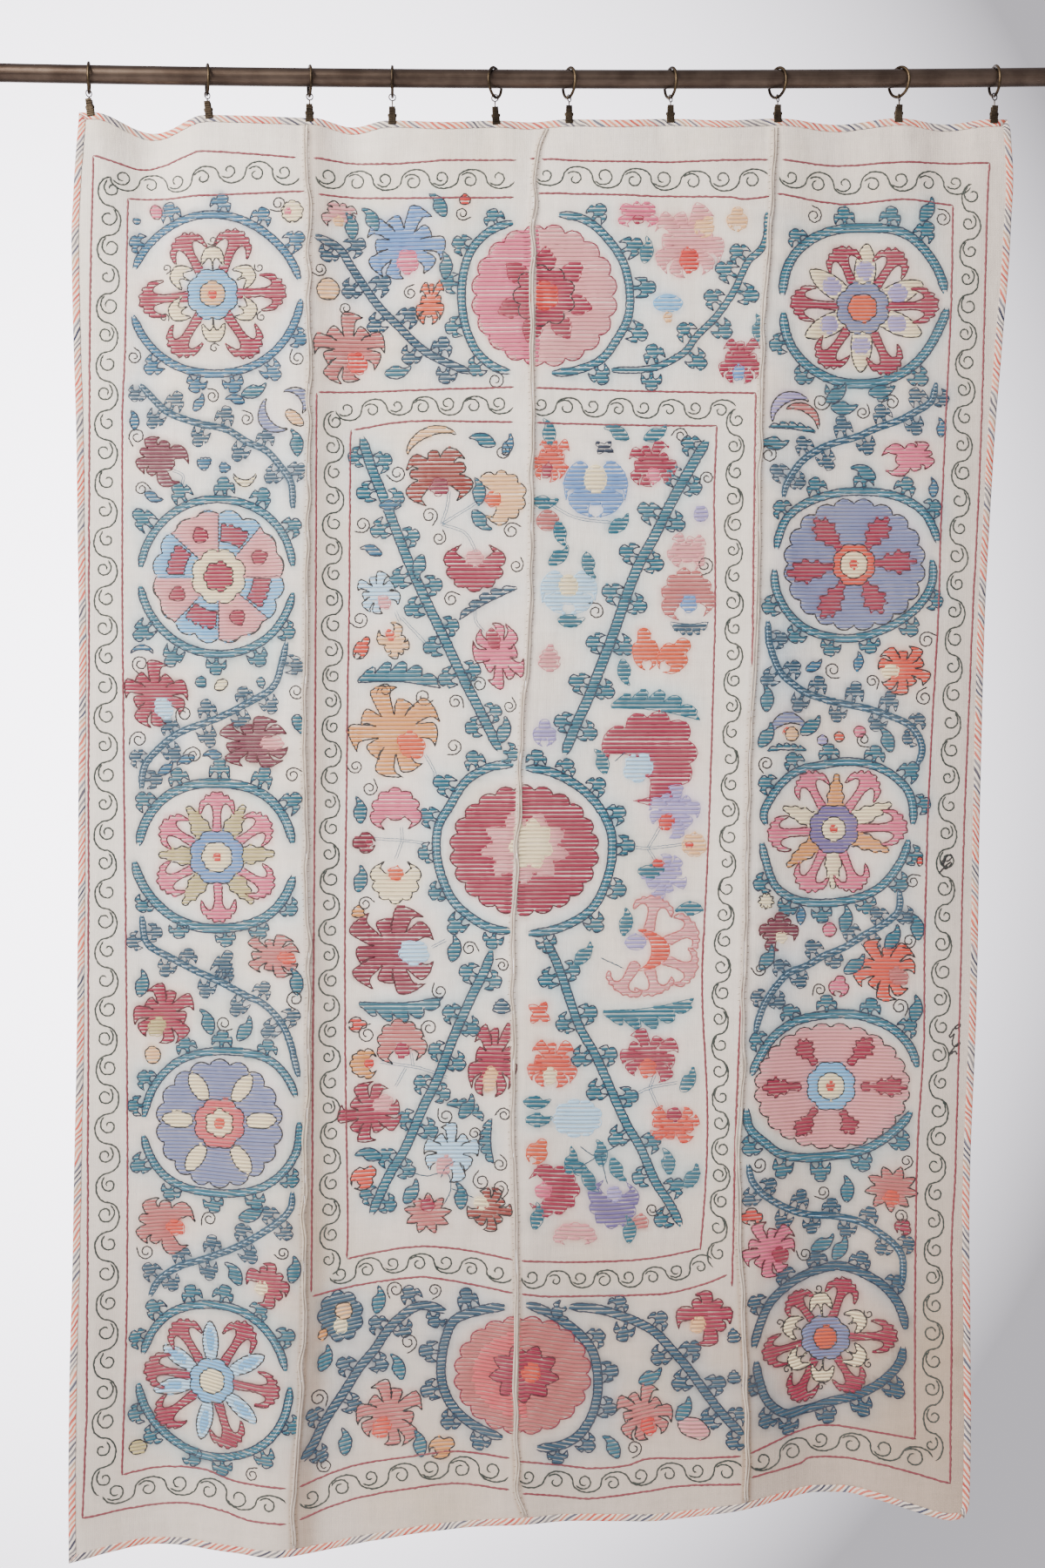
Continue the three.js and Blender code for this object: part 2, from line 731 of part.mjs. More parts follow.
const LAST = ROWS.length - 1;
const right = new THREE.Vector3(1, 0, 0);
const down = new THREE.Vector3(0, 0, -1);
place(
  "binding_top",
  tapeOf(acrossStations(0, 1), right, true, GOING_IN),
  stripedTape,
);
place(
  "binding_bottom",
  tapeOf(acrossStations(LAST, LAST - 1), right, false, GOING_IN),
  stripedTape,
);
place(
  "binding_left",
  tapeOf(uprightStations(COLUMNS[0], COLUMNS[1]), down, false, GOING_OUT),
  stripedTape,
);
place(
  "binding_right",
  tapeOf(
    uprightStations(COLUMNS.at(-1), COLUMNS.at(-2)),
    down,
    true,
    GOING_OUT,
  ),
  stripedTape,
);

export default suzani;
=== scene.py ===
# %% [markdown]
# # A suzani on its clip rings
# A suzani is a wall cloth from Central Asia. Four narrow strips of hand-loomed cotton are
# sewn side by side, and silk is worked over all of them. The cloth is built here as it is made:
# first the four strips with their seams and their bias tape, then the threads that lie on them,
# stitch row by stitch row, and last the rod with the rings and clips that hold it up.
# The rigid frame comes from the CAD model, so nothing has to be fitted.

import math

import bpy
import numpy as np

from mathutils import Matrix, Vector


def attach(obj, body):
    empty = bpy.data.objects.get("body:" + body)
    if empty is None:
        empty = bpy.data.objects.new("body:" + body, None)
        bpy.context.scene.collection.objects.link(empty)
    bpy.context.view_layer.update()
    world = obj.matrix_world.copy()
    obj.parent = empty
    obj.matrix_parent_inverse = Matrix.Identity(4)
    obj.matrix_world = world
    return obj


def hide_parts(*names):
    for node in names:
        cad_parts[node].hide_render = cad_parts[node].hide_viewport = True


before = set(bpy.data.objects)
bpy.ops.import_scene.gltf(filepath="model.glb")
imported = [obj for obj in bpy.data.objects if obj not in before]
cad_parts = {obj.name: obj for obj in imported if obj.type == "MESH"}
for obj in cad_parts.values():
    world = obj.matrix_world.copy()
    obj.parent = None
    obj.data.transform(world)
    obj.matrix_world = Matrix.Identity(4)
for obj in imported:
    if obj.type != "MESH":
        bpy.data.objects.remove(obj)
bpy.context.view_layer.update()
print("nodes in the frame:", len(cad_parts))

# %% [markdown]
# ## Millimetres and the cloth's outline
# Cloth has no straight edge once it hangs. Its outline and seams are short tables of places that
# a smooth line runs through. The CAD model uses the same tables, so a thread laid on this
# surface also lies on the CAD cloth. All work is in millimetres and is turned to metres once,
# when a mesh is made.

# %% The hung cloth's tables
MM = 0.001
CLOTH = 1.5  # how thick the cloth is
TAPE_WIDTH = 9.6
ROD_RADIUS = 12.7

# Each clip: x, how far its top hangs under the rod's axis, how the ring and the eye are turned
# about the vertical, and how far the clip leans, in degrees.
CLIPS = [
    (-597.6, 34.2, 8, 45, 8),
    (-434.4, 35.0, 13, 48, 8),
    (-293.4, 37.5, 12, 26, 0),
    (-179.4, 40.0, 3, 18, 0),
    (-37.8, 39.3, -25, -8, 4.5),
    (64.2, 37.1, 24, 58, 0),
    (204.0, 36.3, 20, 55, 0),
    (351.6, 36.2, 30, 62, 0),
    (519.0, 36.9, 34, 66, -3.5),
    (650.4, 39.5, 10, 32, -3.5),
]
# Between two clips: how far the top edge sags, and how far it swings back.
SWAGS = [(20, 26), (1, -5), (8, 11), (3, -4), (2, 4), (2, -4), (4, -6), (6, 9), (5, 9)]
# Heights and x of the left edge, the three seams and the right edge.
UPRIGHTS = [
    [(-50, -611), (-161, -619), (-252, -621), (-535, -614), (-1018, -611.5),
     (-1617, -617.5), (-1858, -622), (-2040, -621.5)],
    [(-50, -296.5), (-442, -294), (-970, -299), (-1222, -294), (-1570, -300),
     (-1810, -304), (-1930, -314), (-2040, -313)],
    [(-50, 40), (-106, 21), (-262, 15.5), (-610, 12), (-802, 6), (-970, -5),
     (-1402, -13), (-1690, -7), (-1930, -7), (-1990, 7)],
    [(-50, 348), (-154, 343), (-406, 329), (-730, 321.5), (-970, 310), (-1390, 301),
     (-1510, 295.5), (-1810, 307), (-1970, 307)],
    [(-50, 666), (-80, 673), (-191, 674), (-370, 661), (-535, 649), (-820, 636),
     (-1287, 626), (-1506, 616), (-1727, 615), (-1955, 613), (-1978, 606)],
]
# x and height of the hem.
HEM = [(-622, -2038.5), (-557, -2026), (-492, -2022), (-400, -2029), (-324, -2031),
       (-204, -2014), (-120, -2000), (37, -1986.5), (130, -1987), (221, -1981.5),
       (362, -1957), (424, -1950.5), (485, -1957), (577, -1980), (607, -1977)]
# Upright folds: x at the top and hem, how far back each stands at top, middle and hem, and width.
FOLDS = [
    (-640, -622, 0, -3, -16, 55),
    (-520, -492, 6, 4, 12, 60),
    (-296, -330, -5, -9, -15, 42),
    (-215, -205, 4, 6, 5, 55),
    (20, -8, -3, -7, -9, 48),
    (150, 120, 2, 4, 2, 60),
    (343, 300, -4, -9, -10, 45),
    (470, 418, 3, 5, 15, 65),
    (690, 600, 2, 7, -13, 60),
]


def ease(t):
    return t * t * (3 - 2 * t)


def mix(a, b, t):
    return a + (b - a) * t


def through(rows, at):
    """A smooth line through rows of (place, value)."""
    place, value = np.array(sorted(rows), float).T
    at = np.clip(at, place[0], place[-1])
    last = len(place) - 1
    i = np.clip(np.searchsorted(place, at) - 1, 0, last - 1)
    after = np.minimum(np.arange(last + 1) + 1, last)
    before = np.maximum(np.arange(last + 1) - 1, 0)
    slope = (value[after] - value[before]) / (place[after] - place[before])
    span = place[i + 1] - place[i]
    t = (at - place[i]) / span
    start = value[i] + slope[i] * span * t
    end = value[i + 1] - slope[i + 1] * span * (1 - t)
    return mix(start, end, ease(t))


def rod_height(x):
    return 4.0 * (x / 600) ** 2 - 2.5 * (x / 600)


def upright(k, z):
    return through(UPRIGHTS[k], z)


def hem_edge(x):
    return through(HEM, x)


GRIP_X = np.array([x + 21.25 * math.sin(math.radians(lean)) for x, *_, lean in CLIPS])
GRIP_Z = np.array([rod_height(x) - hang - 18.5 for x, hang, *_ in CLIPS])


def swag_at(x):
    """The sag and swing at x between its two clips, and the clips' own height there."""
    i = np.clip(np.searchsorted(GRIP_X, x, side="right") - 1, 0, len(SWAGS) - 1)
    start, stop = GRIP_X[i] + 7.5, GRIP_X[i + 1] - 7.5
    t = np.clip((x - start) / (stop - start), 0, 1)
    share = np.sin(np.pi * t) ** 1.7
    sag, back = np.array(SWAGS, float).T
    return sag[i] * share, back[i] * share, mix(GRIP_Z[i], GRIP_Z[i + 1], t)


def top_edge(x):
    sag, _, height = swag_at(x)
    return height - sag


print("top edge at the middle:", round(float(top_edge(0.0)), 1), "mm")

# %% [markdown]
# ## The surface of the cloth
# One function gives how far back the cloth stands at any place: the swags between the clips,
# the upright folds, a slow swell and the ridges of the seams. A second one adds what a CAD
# solid is too coarse for, the crinkles of a washed old cotton and the puckers beside a
# hand-sewn seam. Value noise is enough for these, and a fixed seed keeps it the same each run.

# %% Folds, crinkles and puckers
dice = np.random.default_rng(7)
LATTICE = dice.uniform(-1, 1, (4, 96, 96))


def noise(x, z, size, layer=0):
    """Smooth value noise between -1 and 1, with features of a size in mm."""
    u, v = np.asarray(x, float) / size + 40, np.asarray(z, float) / size + 60
    i, j = np.floor(u).astype(int), np.floor(v).astype(int)
    s, t = ease(u - i), ease(v - j)
    grid = LATTICE[layer]
    a, b = grid[i % 96, j % 96], grid[(i + 1) % 96, j % 96]
    c, d = grid[i % 96, (j + 1) % 96], grid[(i + 1) % 96, (j + 1) % 96]
    return mix(mix(a, b, s), mix(c, d, s), t)


def seam_distance(x, z):
    return np.min([np.abs(x - upright(k, z)) for k in (1, 2, 3)], axis=0)


def seam_ridge(x, z, down):
    """The sewn allowances stand up as a soft ridge along each seam."""
    up = z - hem_edge(x)
    fade = ease(np.clip(np.minimum(down, up) / TAPE_WIDTH - 1, 0, 1))
    off = seam_distance(x, z)
    near = mix(2.2, 0.99, off / 4)
    far = np.clip(mix(0.99, 0, (off - 4) / 5), 0, None)
    return np.where(off < 4, near, far) * fade


def depth_at(x, z):
    """How far back the cloth stands, as the CAD solid has it."""
    down = np.maximum(0, top_edge(x) - z)
    lower = np.clip((z + 58) / -1942, 0, 1)
    _, back, _ = swag_at(x)
    y = back * np.exp(-((down / 150) ** 2))
    started = 1 - np.exp(-((down / 70) ** 2))
    for x_top, x_hem, top, middle, hem, width in FOLDS:
        across = (x - mix(x_top, x_hem, lower)) / width
        upper = mix(top, middle, ease(np.clip(lower * 2, 0, 1)))
        under = mix(middle, hem, ease(np.clip(lower * 2 - 1, 0, 1)))
        stands = np.where(lower < 0.5, upper, under)
        y = y + started * stands * np.exp(-across * across)
    wave = np.sin(2 * np.pi * (x + 0.35 * z) / 210) * np.cos(2 * np.pi * z / 520)
    return y + started * 1.6 * wave - seam_ridge(x, z, down)


def crinkle(x, z):
    """Crinkles of the soft cotton and puckers beside the seams."""
    down = np.maximum(0, top_edge(x) - z)
    soft = 0.9 * noise(x, z * 0.45, 46, 0) + 0.5 * noise(x, z * 0.8, 21, 1)
    soft += 0.25 * noise(x, z, 11, 2)
    off = seam_distance(x, z)
    pucker = noise(np.round(x / 300) * 50, z, 13, 3)
    pucker = 1.3 * pucker * np.exp(-((off / 11) ** 2))
    reach = np.exp(-down / 55)
    tucks = sum(
        np.sin((x - at) / 7.5 + z / 26) * np.exp(-(((x - at) / 26) ** 2)) for at in GRIP_X
    )
    calm = np.clip(down / 14, 0, 1)
    return (soft + pucker + 1.5 * tucks * reach) * calm


def face_at(x, z, lift=0.0):
    """y of the cloth's front face, less a lift towards the viewer."""
    return depth_at(x, z) + crinkle(x, z) - CLOTH / 2 - lift


print("cloth depth at a swag:", round(float(depth_at(-515.0, -90.0)), 1), "mm back")

# %% [markdown]
# ## One helper for meshes and one for materials
# Every piece is a grid or a chain of faces, so one function can make them all. It checks the
# signed volume, which is negative when a closed skin is inside out.

# %% Make a mesh piece
def outward(points, faces):
    """The same faces, turned so that their normals point out of the closed skin."""
    a, b, c, d = (points[faces[:, k]] for k in range(4))
    volume = np.sum(a * np.cross(b, c)) + np.sum(a * np.cross(c, d))
    return faces if volume > 0 else faces[:, ::-1]


def mesh_piece(name, points, faces, material, uv=None, uv_name="Along"):
    """A shown piece from points in mm and faces of four corners. It rides on the one body.
    A face whose last corner is its first one again is a triangle."""
    points = np.asarray(points, float)
    faces = outward(points, np.asarray(faces, int))
    used = np.ones(faces.shape, bool)
    used[:, 3] = faces[:, 3] != faces[:, 0]
    corners, sizes = faces[used], used.sum(axis=1)
    mesh = bpy.data.meshes.new(name)
    mesh.vertices.add(len(points))
    mesh.vertices.foreach_set("co", (points * MM).ravel())
    mesh.loops.add(len(corners))
    mesh.loops.foreach_set("vertex_index", corners)
    mesh.polygons.add(len(faces))
    mesh.polygons.foreach_set("loop_start", np.cumsum(sizes) - sizes)
    mesh.polygons.foreach_set("use_smooth", np.ones(len(faces), bool))
    mesh.update(calc_edges=True)
    mesh.validate()
    if uv is not None:
        layer = mesh.uv_layers.new(name=uv_name)
        layer.data.foreach_set("uv", np.asarray(uv, float)[corners].ravel())
    mesh.materials.append(material)
    piece = bpy.data.objects.new(name, mesh)
    bpy.context.scene.collection.objects.link(piece)
    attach(piece, "root")
    return piece


def joined(parts):
    """One list of points and one of faces, from several."""
    points, quads, shift = [], [], 0
    for p, q in parts:
        points.append(p)
        quads.append(np.asarray(q, int) + shift)
        shift += len(p)
    return np.vstack(points), np.vstack(quads)


# %% Colours and nodes
def linear(hex_colour):
    """An sRGB hex colour as the linear colour that a shader wants."""
    channels = [int(hex_colour[i : i + 2], 16) / 255 for i in (1, 3, 5)]
    lit = [c / 12.92 if c <= 0.04045 else ((c + 0.055) / 1.055) ** 2.4 for c in channels]
    return lit + [1.0]


def add_node(tree, kind, settings):
    """Adds a node. A setting is a value, an output to link, or a node for its first output."""
    node = tree.nodes.new("ShaderNode" + kind)
    for key, value in settings.items():
        if isinstance(value, bpy.types.Node):
            value = value.outputs[0]
        if isinstance(value, bpy.types.NodeSocket):
            tree.links.new(value, node.inputs[key])
        elif isinstance(key, int) or key in node.inputs:
            node.inputs[key].default_value = value
        else:
            setattr(node, key, value)
    return node


def new_material(name, **sockets):
    """A material with its main shader's sockets set, and that shader."""
    material = bpy.data.materials.new(name)
    material.use_nodes = True
    tree = material.node_tree
    shader = tree.nodes["Principled BSDF"]
    for key, value in sockets.items():
        shader.inputs[key.replace("_", " ")].default_value = value
    return material, tree, shader


def plug(tree, shader, **outputs):
    """Links outputs to the shader's sockets of those names."""
    for key, output in outputs.items():
        tree.links.new(output, shader.inputs[key.replace("_", " ")])


print("white cotton in linear light:", [round(c, 3) for c in linear("#E9E4DC")[:3]])
# %% [markdown]
# ## Cotton, tape and metal
# The ground is hand-loomed cotton, plain woven from uneven hand-spun yarn, so it looks matt and
# slightly streaked both ways. The yarns are about 0.5 mm apart, which is too fine to show in a
# picture of the whole cloth, so the weave is drawn at 2 mm and the thick slubs at their own
# size. Age has left faint yellow and brown marks. Where silk dye ran in the wash, the ground
# took a tint, which each point of the cloth carries as a colour attribute of its own, together
# with painted shade.

# %% Washed hand-loomed cotton
WEAVE_MM = 2.0
SLUB_MM = 9.0


def cotton_material(name, hex_colour, attribute=None):
    material, tree, shader = new_material(name, Roughness=0.92, Sheen_Weight=0.12)
    place = add_node(tree, "TexCoord", {}).outputs["Object"]
    turned = add_node(tree, "Mapping", {"Vector": place, "Scale": (1 / (WEAVE_MM * MM),) * 3})
    yarns = [
        add_node(tree, "TexWave", {"Vector": turned, "bands_direction": way, "Scale": 0.32,
                                   "Distortion": 1.2, "Detail": 1.0, "Detail Scale": 2.0})
        for way in ("X", "Z")
    ]
    warp, weft = (yarn.outputs["Fac"] for yarn in yarns)
    cross = add_node(tree, "Math", {"operation": "MULTIPLY", 0: warp, 1: weft})
    slubs = []
    for stretch in ((1 / (SLUB_MM * MM), 60, 18), (18, 60, 1 / (SLUB_MM * MM))):
        along = add_node(tree, "Mapping", {"Vector": place, "Scale": stretch})
        slubs.append(add_node(tree, "TexNoise", {"Vector": along, "Scale": 1.0, "Detail": 4.0,
                                                 "Roughness": 0.65}))
    streak = add_node(tree, "Math", {"operation": "ADD", 0: slubs[0], 1: slubs[1]})
    tone = add_node(tree, "MapRange", {"Value": streak, "From Min": 0.75, "From Max": 1.25,
                                       "To Min": 0.925, "To Max": 1.03})
    stain = add_node(tree, "TexNoise", {"Vector": place, "Scale": 4.2, "Detail": 5.0,
                                        "Roughness": 0.6})
    yellowed = add_node(tree, "MapRange", {"Value": stain, "From Min": 0.5, "From Max": 0.78,
                                           "To Min": 0.0, "To Max": 0.5})
    colour = add_node(tree, "Mix", {"data_type": "RGBA", 0: yellowed, 6: linear(hex_colour),
                                    7: linear("#DDCBA9")}).outputs[2]
    if attribute:
        dyed = add_node(tree, "Attribute", {"attribute_name": attribute})
        colour = add_node(tree, "Mix", {"data_type": "RGBA", "blend_type": "MULTIPLY", 0: 1.0,
                                        6: colour, 7: dyed}).outputs[2]
    lit = add_node(tree, "VectorMath", {"operation": "SCALE", 0: colour, "Scale": tone})
    relief = add_node(tree, "Math", {"operation": "MULTIPLY_ADD", 0: streak, 1: 0.8, 2: cross})
    creased = add_node(tree, "Mapping", {"Vector": place, "Scale": (30, 60, 9)})
    creases = add_node(tree, "TexNoise", {"Vector": creased, "Scale": 1.0, "Detail": 5.0,
                                          "Roughness": 0.62})
    soft_bump = add_node(tree, "Bump", {"Height": creases, "Strength": 0.55, "Distance": 0.004})
    bump = add_node(tree, "Bump", {"Height": relief, "Normal": soft_bump, "Strength": 0.35,
                                   "Distance": 0.0006})
    plug(tree, shader, Base_Color=lit.outputs[0], Normal=bump.outputs[0])
    return material


cotton = cotton_material("handloom_cotton", "#EFE6DA", attribute="dye_and_painted_shade")
print("cotton made:", cotton.name)

# %% [markdown]
# The bias tape is cotton cut across a striped cloth, so its stripes run slanting over the edge.
# The real stripes are about 3 mm and are drawn at 4.7 mm, so that they show, with a cream one
# after each. The stripes' colour changes slowly along the tape, from coral to red, grey and
# navy, and starts again. The distance along and across is kept as a UV map, in mm.

# %% Striped bias tape
STRIPE_PITCH_MM = 9.4
STRIPE_GROUP_MM = 128.0
STRIPES = [
    (0.00, "#C8442E"), (0.07, "#D3674A"), (0.13, "#B5302A"), (0.19, "#CE5C42"),
    (0.27, "#DB8A66"), (0.34, "#C8442E"), (0.41, "#6F6D78"), (0.48, "#232943"),
    (0.55, "#7F7B7C"), (0.61, "#363C56"), (0.67, "#B08C72"), (0.73, "#D06F50"),
    (0.80, "#474C62"), (0.86, "#C5523C"), (0.93, "#D77F61"),
]


def tape_material(name, slope):
    material, tree, shader = new_material(name, Roughness=0.9, Sheen_Weight=0.1)
    along = add_node(tree, "UVMap", {"uv_map": "Along"})
    split = add_node(tree, "SeparateXYZ", {0: along})
    wander = add_node(tree, "TexNoise", {"Vector": along, "Scale": 0.02, "Detail": 2.0})
    slanted = add_node(tree, "Math", {"operation": "MULTIPLY_ADD", 0: split.outputs["Y"],
                                      1: slope, 2: split.outputs["X"]})
    moved = add_node(tree, "Math", {"operation": "MULTIPLY_ADD", 0: wander, 1: 30.0, 2: slanted})
    shares = [add_node(tree, "Math", {"operation": "DIVIDE", 0: moved, 1: length})
              for length in (STRIPE_PITCH_MM, STRIPE_GROUP_MM)]
    in_pitch, in_group = (
        add_node(tree, "Math", {"operation": "FRACT", 0: share}) for share in shares
    )
    stripe = add_node(tree, "MapRange", {"Value": in_pitch, "From Min": 0.48, "From Max": 0.54})
    ramp = add_node(tree, "ValToRGB", {"Fac": in_group})
    ramp.color_ramp.interpolation = "CONSTANT"
    steps = ramp.color_ramp.elements
    for place, colour in STRIPES:
        step = steps[0] if place == 0 else steps.new(place)
        step.color = linear(colour)
    steps.remove(steps[-1])
    striped = add_node(tree, "Mix", {"data_type": "RGBA", 0: stripe, 6: ramp,
                                     7: linear("#E6DACB")})
    fine = add_node(tree, "TexWave", {"Vector": along, "bands_direction": "X", "Scale": 0.55,
                                      "Distortion": 2.0, "Detail": 2.0})
    bump = add_node(tree, "Bump", {"Height": fine.outputs["Fac"], "Strength": 0.3,
                                   "Distance": 0.0004})
    wear = add_node(tree, "MapRange", {"Value": wander, "From Min": 0.35, "From Max": 0.8,
                                       "To Min": 0.0, "To Max": 0.22})
    faded = add_node(tree, "Mix", {"data_type": "RGBA", 0: wear, 6: striped.outputs[2],
                                   7: linear("#E4D6C8")})
    plug(tree, shader, Base_Color=faded.outputs[2], Normal=bump.outputs[0])
    return material


tape_across = tape_material("striped_bias_tape_across", 1.5)
tape_up = tape_material("striped_bias_tape_up", -1.5)
print("stripes in a group:", round(STRIPE_GROUP_MM / STRIPE_PITCH_MM))

# %% [markdown]
# The rod is steel with a brushed antique bronze finish: dark brown in the brush lines and
# lighter where the hand has rubbed it. The rings and clips are brass wire and pressed brass,
# darkened by age. A metal's colour is its reflection, so metallic is 1 and the brushing shows
# as roughness and a fine bump that runs along the rod.

# %% Antique bronze and aged brass
def metal_material(name, dark, light, roughness, brushed):
    material, tree, shader = new_material(name, Metallic=1.0, Roughness=roughness)
    place = add_node(tree, "TexCoord", {}).outputs["Object"]
    lines = add_node(tree, "Mapping", {"Vector": place, "Scale": brushed})
    brush = add_node(tree, "TexNoise", {"Vector": lines, "Scale": 1.0, "Detail": 5.0,
                                        "Roughness": 0.7})
    age = add_node(tree, "TexNoise", {"Vector": place, "Scale": 34.0, "Detail": 4.0})
    blend = add_node(tree, "Math", {"operation": "MULTIPLY_ADD", 0: brush, 1: 0.6, 2: age})
    worn = add_node(tree, "MapRange", {"Value": blend, "From Min": 0.62, "From Max": 0.98})
    colour = add_node(tree, "Mix", {"data_type": "RGBA", 0: worn, 6: linear(dark),
                                    7: linear(light)})
    gloss = add_node(tree, "MapRange", {"Value": brush, "To Min": roughness - 0.07,
                                        "To Max": roughness + 0.12})
    bump = add_node(tree, "Bump", {"Height": brush, "Strength": 0.25, "Distance": 0.0002})
    plug(tree, shader, Base_Color=colour.outputs[2], Roughness=gloss.outputs[0],
         Normal=bump.outputs[0])
    return material


rod_bronze = metal_material("brushed_antique_bronze", "#4A3E36", "#5F5248", 0.36, (6, 900, 900))
ring_brass = metal_material("aged_brass_wire", "#2E261F", "#5E503D", 0.42, (300,) * 3)
clip_bronze = metal_material("darkened_pressed_brass", "#27221D", "#54493B", 0.44, (500,) * 3)
print("metals made")

# %% [markdown]
# ## The four strips
# Each strip is one closed sheet. Its columns follow its own two upright lines, and are closer
# beside a seam, where the ridge is narrow. The points move until each one lies on its upright
# and its row at once, which takes a few rounds because both lines curve.

# %% Weave the strips' grids
CELL = 7.0
NEAR_SEAM = [0, 1.3, 2.6, 4.0, 5.6, 7.6, 10.2, 14]
NEAR_EDGE = [1.3, 5.5, TAPE_WIDTH, 14]


def strip_columns(panel):
    """Distances from a strip's left upright, and its full width, at mid height."""
    width = float(upright(panel + 1, -1000.0) - upright(panel, -1000.0))
    left = NEAR_EDGE if panel == 0 else NEAR_SEAM
    right = [width - d for d in (NEAR_EDGE if panel == 3 else NEAR_SEAM)][::-1]
    count = int((right[0] - left[-1]) / CELL)
    between = np.linspace(left[-1], right[0], count + 1)[1:-1]
    return np.concatenate([left, between, right]), width


def strip_grid(panel):
    """x and z of a strip's points, as columns by rows."""
    from_left, width = strip_columns(panel)
    rows = int(1950 / CELL)
    share = np.linspace(0, 1, rows + 1)[None, :]
    column = from_left[:, None]
    z = np.broadcast_to(-60 - 1940 * share, (len(from_left), rows + 1)).copy()
    for _ in range(5):
        left, right = upright(panel, z), upright(panel + 1, z)
        inner = mix(left + 14, right - 14, (column - 14) / (width - 28))
        x = np.where(column <= 14, left + column, inner)
        x = np.where(column >= width - 14, right - (width - column), x)
        z = mix(top_edge(x) - 1.3, hem_edge(x) + 1.3, share)
    if panel > 0:
        x[0] += 0.15
    if panel < 3:
        x[-1] -= 0.15
    return x, z


def sheet_faces(columns, rows):
    """Faces of a closed sheet whose back points follow its front points."""
    half = columns * rows
    at = np.arange(half).reshape(columns, rows)
    front = np.stack([at[:-1, :-1], at[:-1, 1:], at[1:, 1:], at[1:, :-1]], -1).reshape(-1, 4)
    rim = np.concatenate([at[:, 0], at[-1, 1:], at[-2::-1, -1], at[0, -2:0:-1]])
    nxt = np.roll(rim, -1)
    sides = np.stack([rim, nxt, nxt + half, rim + half], -1)
    return np.vstack([front, front[:, [0, 3, 2, 1]] + half, sides])


GRIDS = [strip_grid(panel) for panel in range(4)]
for panel, (x, z) in enumerate(GRIDS):
    print("strip", panel + 1, "has", x.shape[0], "columns and", x.shape[1], "rows")

# %% [markdown]
# ## How the silk lies
# The pattern is drawn on the whole cloth first and worked strip by strip, and then the strips
# are sewn together again. That is why the stitch rows of two strips never quite meet at a seam.
# A filled shape is a stack of laid rows that follow the weft. The real rows are 4 to 5 mm apart
# and are drawn at 5 and 5.6 mm, so that they show. Each shape is cut by these rows as a scan
# line cuts a polygon, and a later colour takes the place of the rows under it. Outlines, stems
# and curls are lines of stem stitch.
# The chart's squares are 12 mm. Columns run to the right and rows run down, and the rod's axis
# is at row 9.1 and the cloth's middle at column 60.

# %% Silks and the chart
SQUARE = 12.0
ROW_PITCH = (5.0, 5.6, 5.6, 5.0)  # in each strip
ROW_SHARE = 0.83  # how much of the pitch the silk covers
FIRST_ROW = (0.0, 1.7, 3.2, 0.8)  # each strip was worked on its own
SEAM_FREE = 3.4  # the silk stops this far from a seam
TAPE_FREE = TAPE_WIDTH + 2  # and this far from the cloth's edge

SILKS = {
    "crimson": "#8A0434", "rose": "#740A2E", "dull_rose": "#641832", "brick": "#7C1F18",
    "coral": "#C63A26", "scarlet": "#BE1F1A", "tangerine": "#C8481F", "tan": "#CB8745",
    "peach": "#DDAD78", "salmon": "#AC5857", "blush": "#CF878B", "pink": "#CA5676",
    "cornflower": "#5580B8", "sky": "#68A8D6", "ice": "#A8CFEA", "teal": "#02586C",
    "steel": "#13597A", "slate": "#134158", "navy": "#10243C", "mist": "#68729B",
    "lilac": "#9289BA", "purple": "#5F5389", "olive": "#B0A26C", "cream": "#E8D9AE",
    "plum": "#4A0B1C", "charcoal": "#111217", "guide": "#7A2B38", "scroll": "#23302B",
    "shell": "#C14850", "whip": "#8A775E",
}

# How far the weft stands above its mean near the hem, as x and mm, for each strip.
WEFT_LOW = [
    [(-604, -2), (-524, 7), (-462, 11), (-414, 2), (-377, -8), (-324, -11)],
    [(-306, -29), (-239, -6), (-161, 8), (-94, 17), (-18, 10)],
    [(-8, 4), (8, 5), (50, -4), (95, -9), (143, -6), (186, 5), (236, 5), (300, 11)],
    [(313, -11), (380, 2), (403, 10), (482, 6), (587, -18)],
]
rows_worked = {}  # (strip, row number) -> [(from x, to x, silk)]
stem_lines = {name: [] for name in SILKS}
hand = np.random.default_rng(21)


def from_chart(points):
    points = np.asarray(points, float)
    return np.stack([(points[:, 0] - 60) * SQUARE, (9.1 - points[:, 1]) * SQUARE], -1)


def weft(panel, x, z):
    return through(WEFT_LOW[panel], x) * np.exp(-((np.maximum(z + 1930, 0) / 380) ** 2))


def lay_row(key, start, stop, silk):
    """Lays one row of silk in place of whatever it covers."""
    kept = []
    for a, b, other in rows_worked.get(key, []):
        if b <= start or a >= stop:
            kept.append((a, b, other))
            continue
        if start - a > 2:
            kept.append((a, start, other))
        if b - stop > 2:
            kept.append((stop, b, other))
    rows_worked[key] = kept + [(start, stop, silk)]


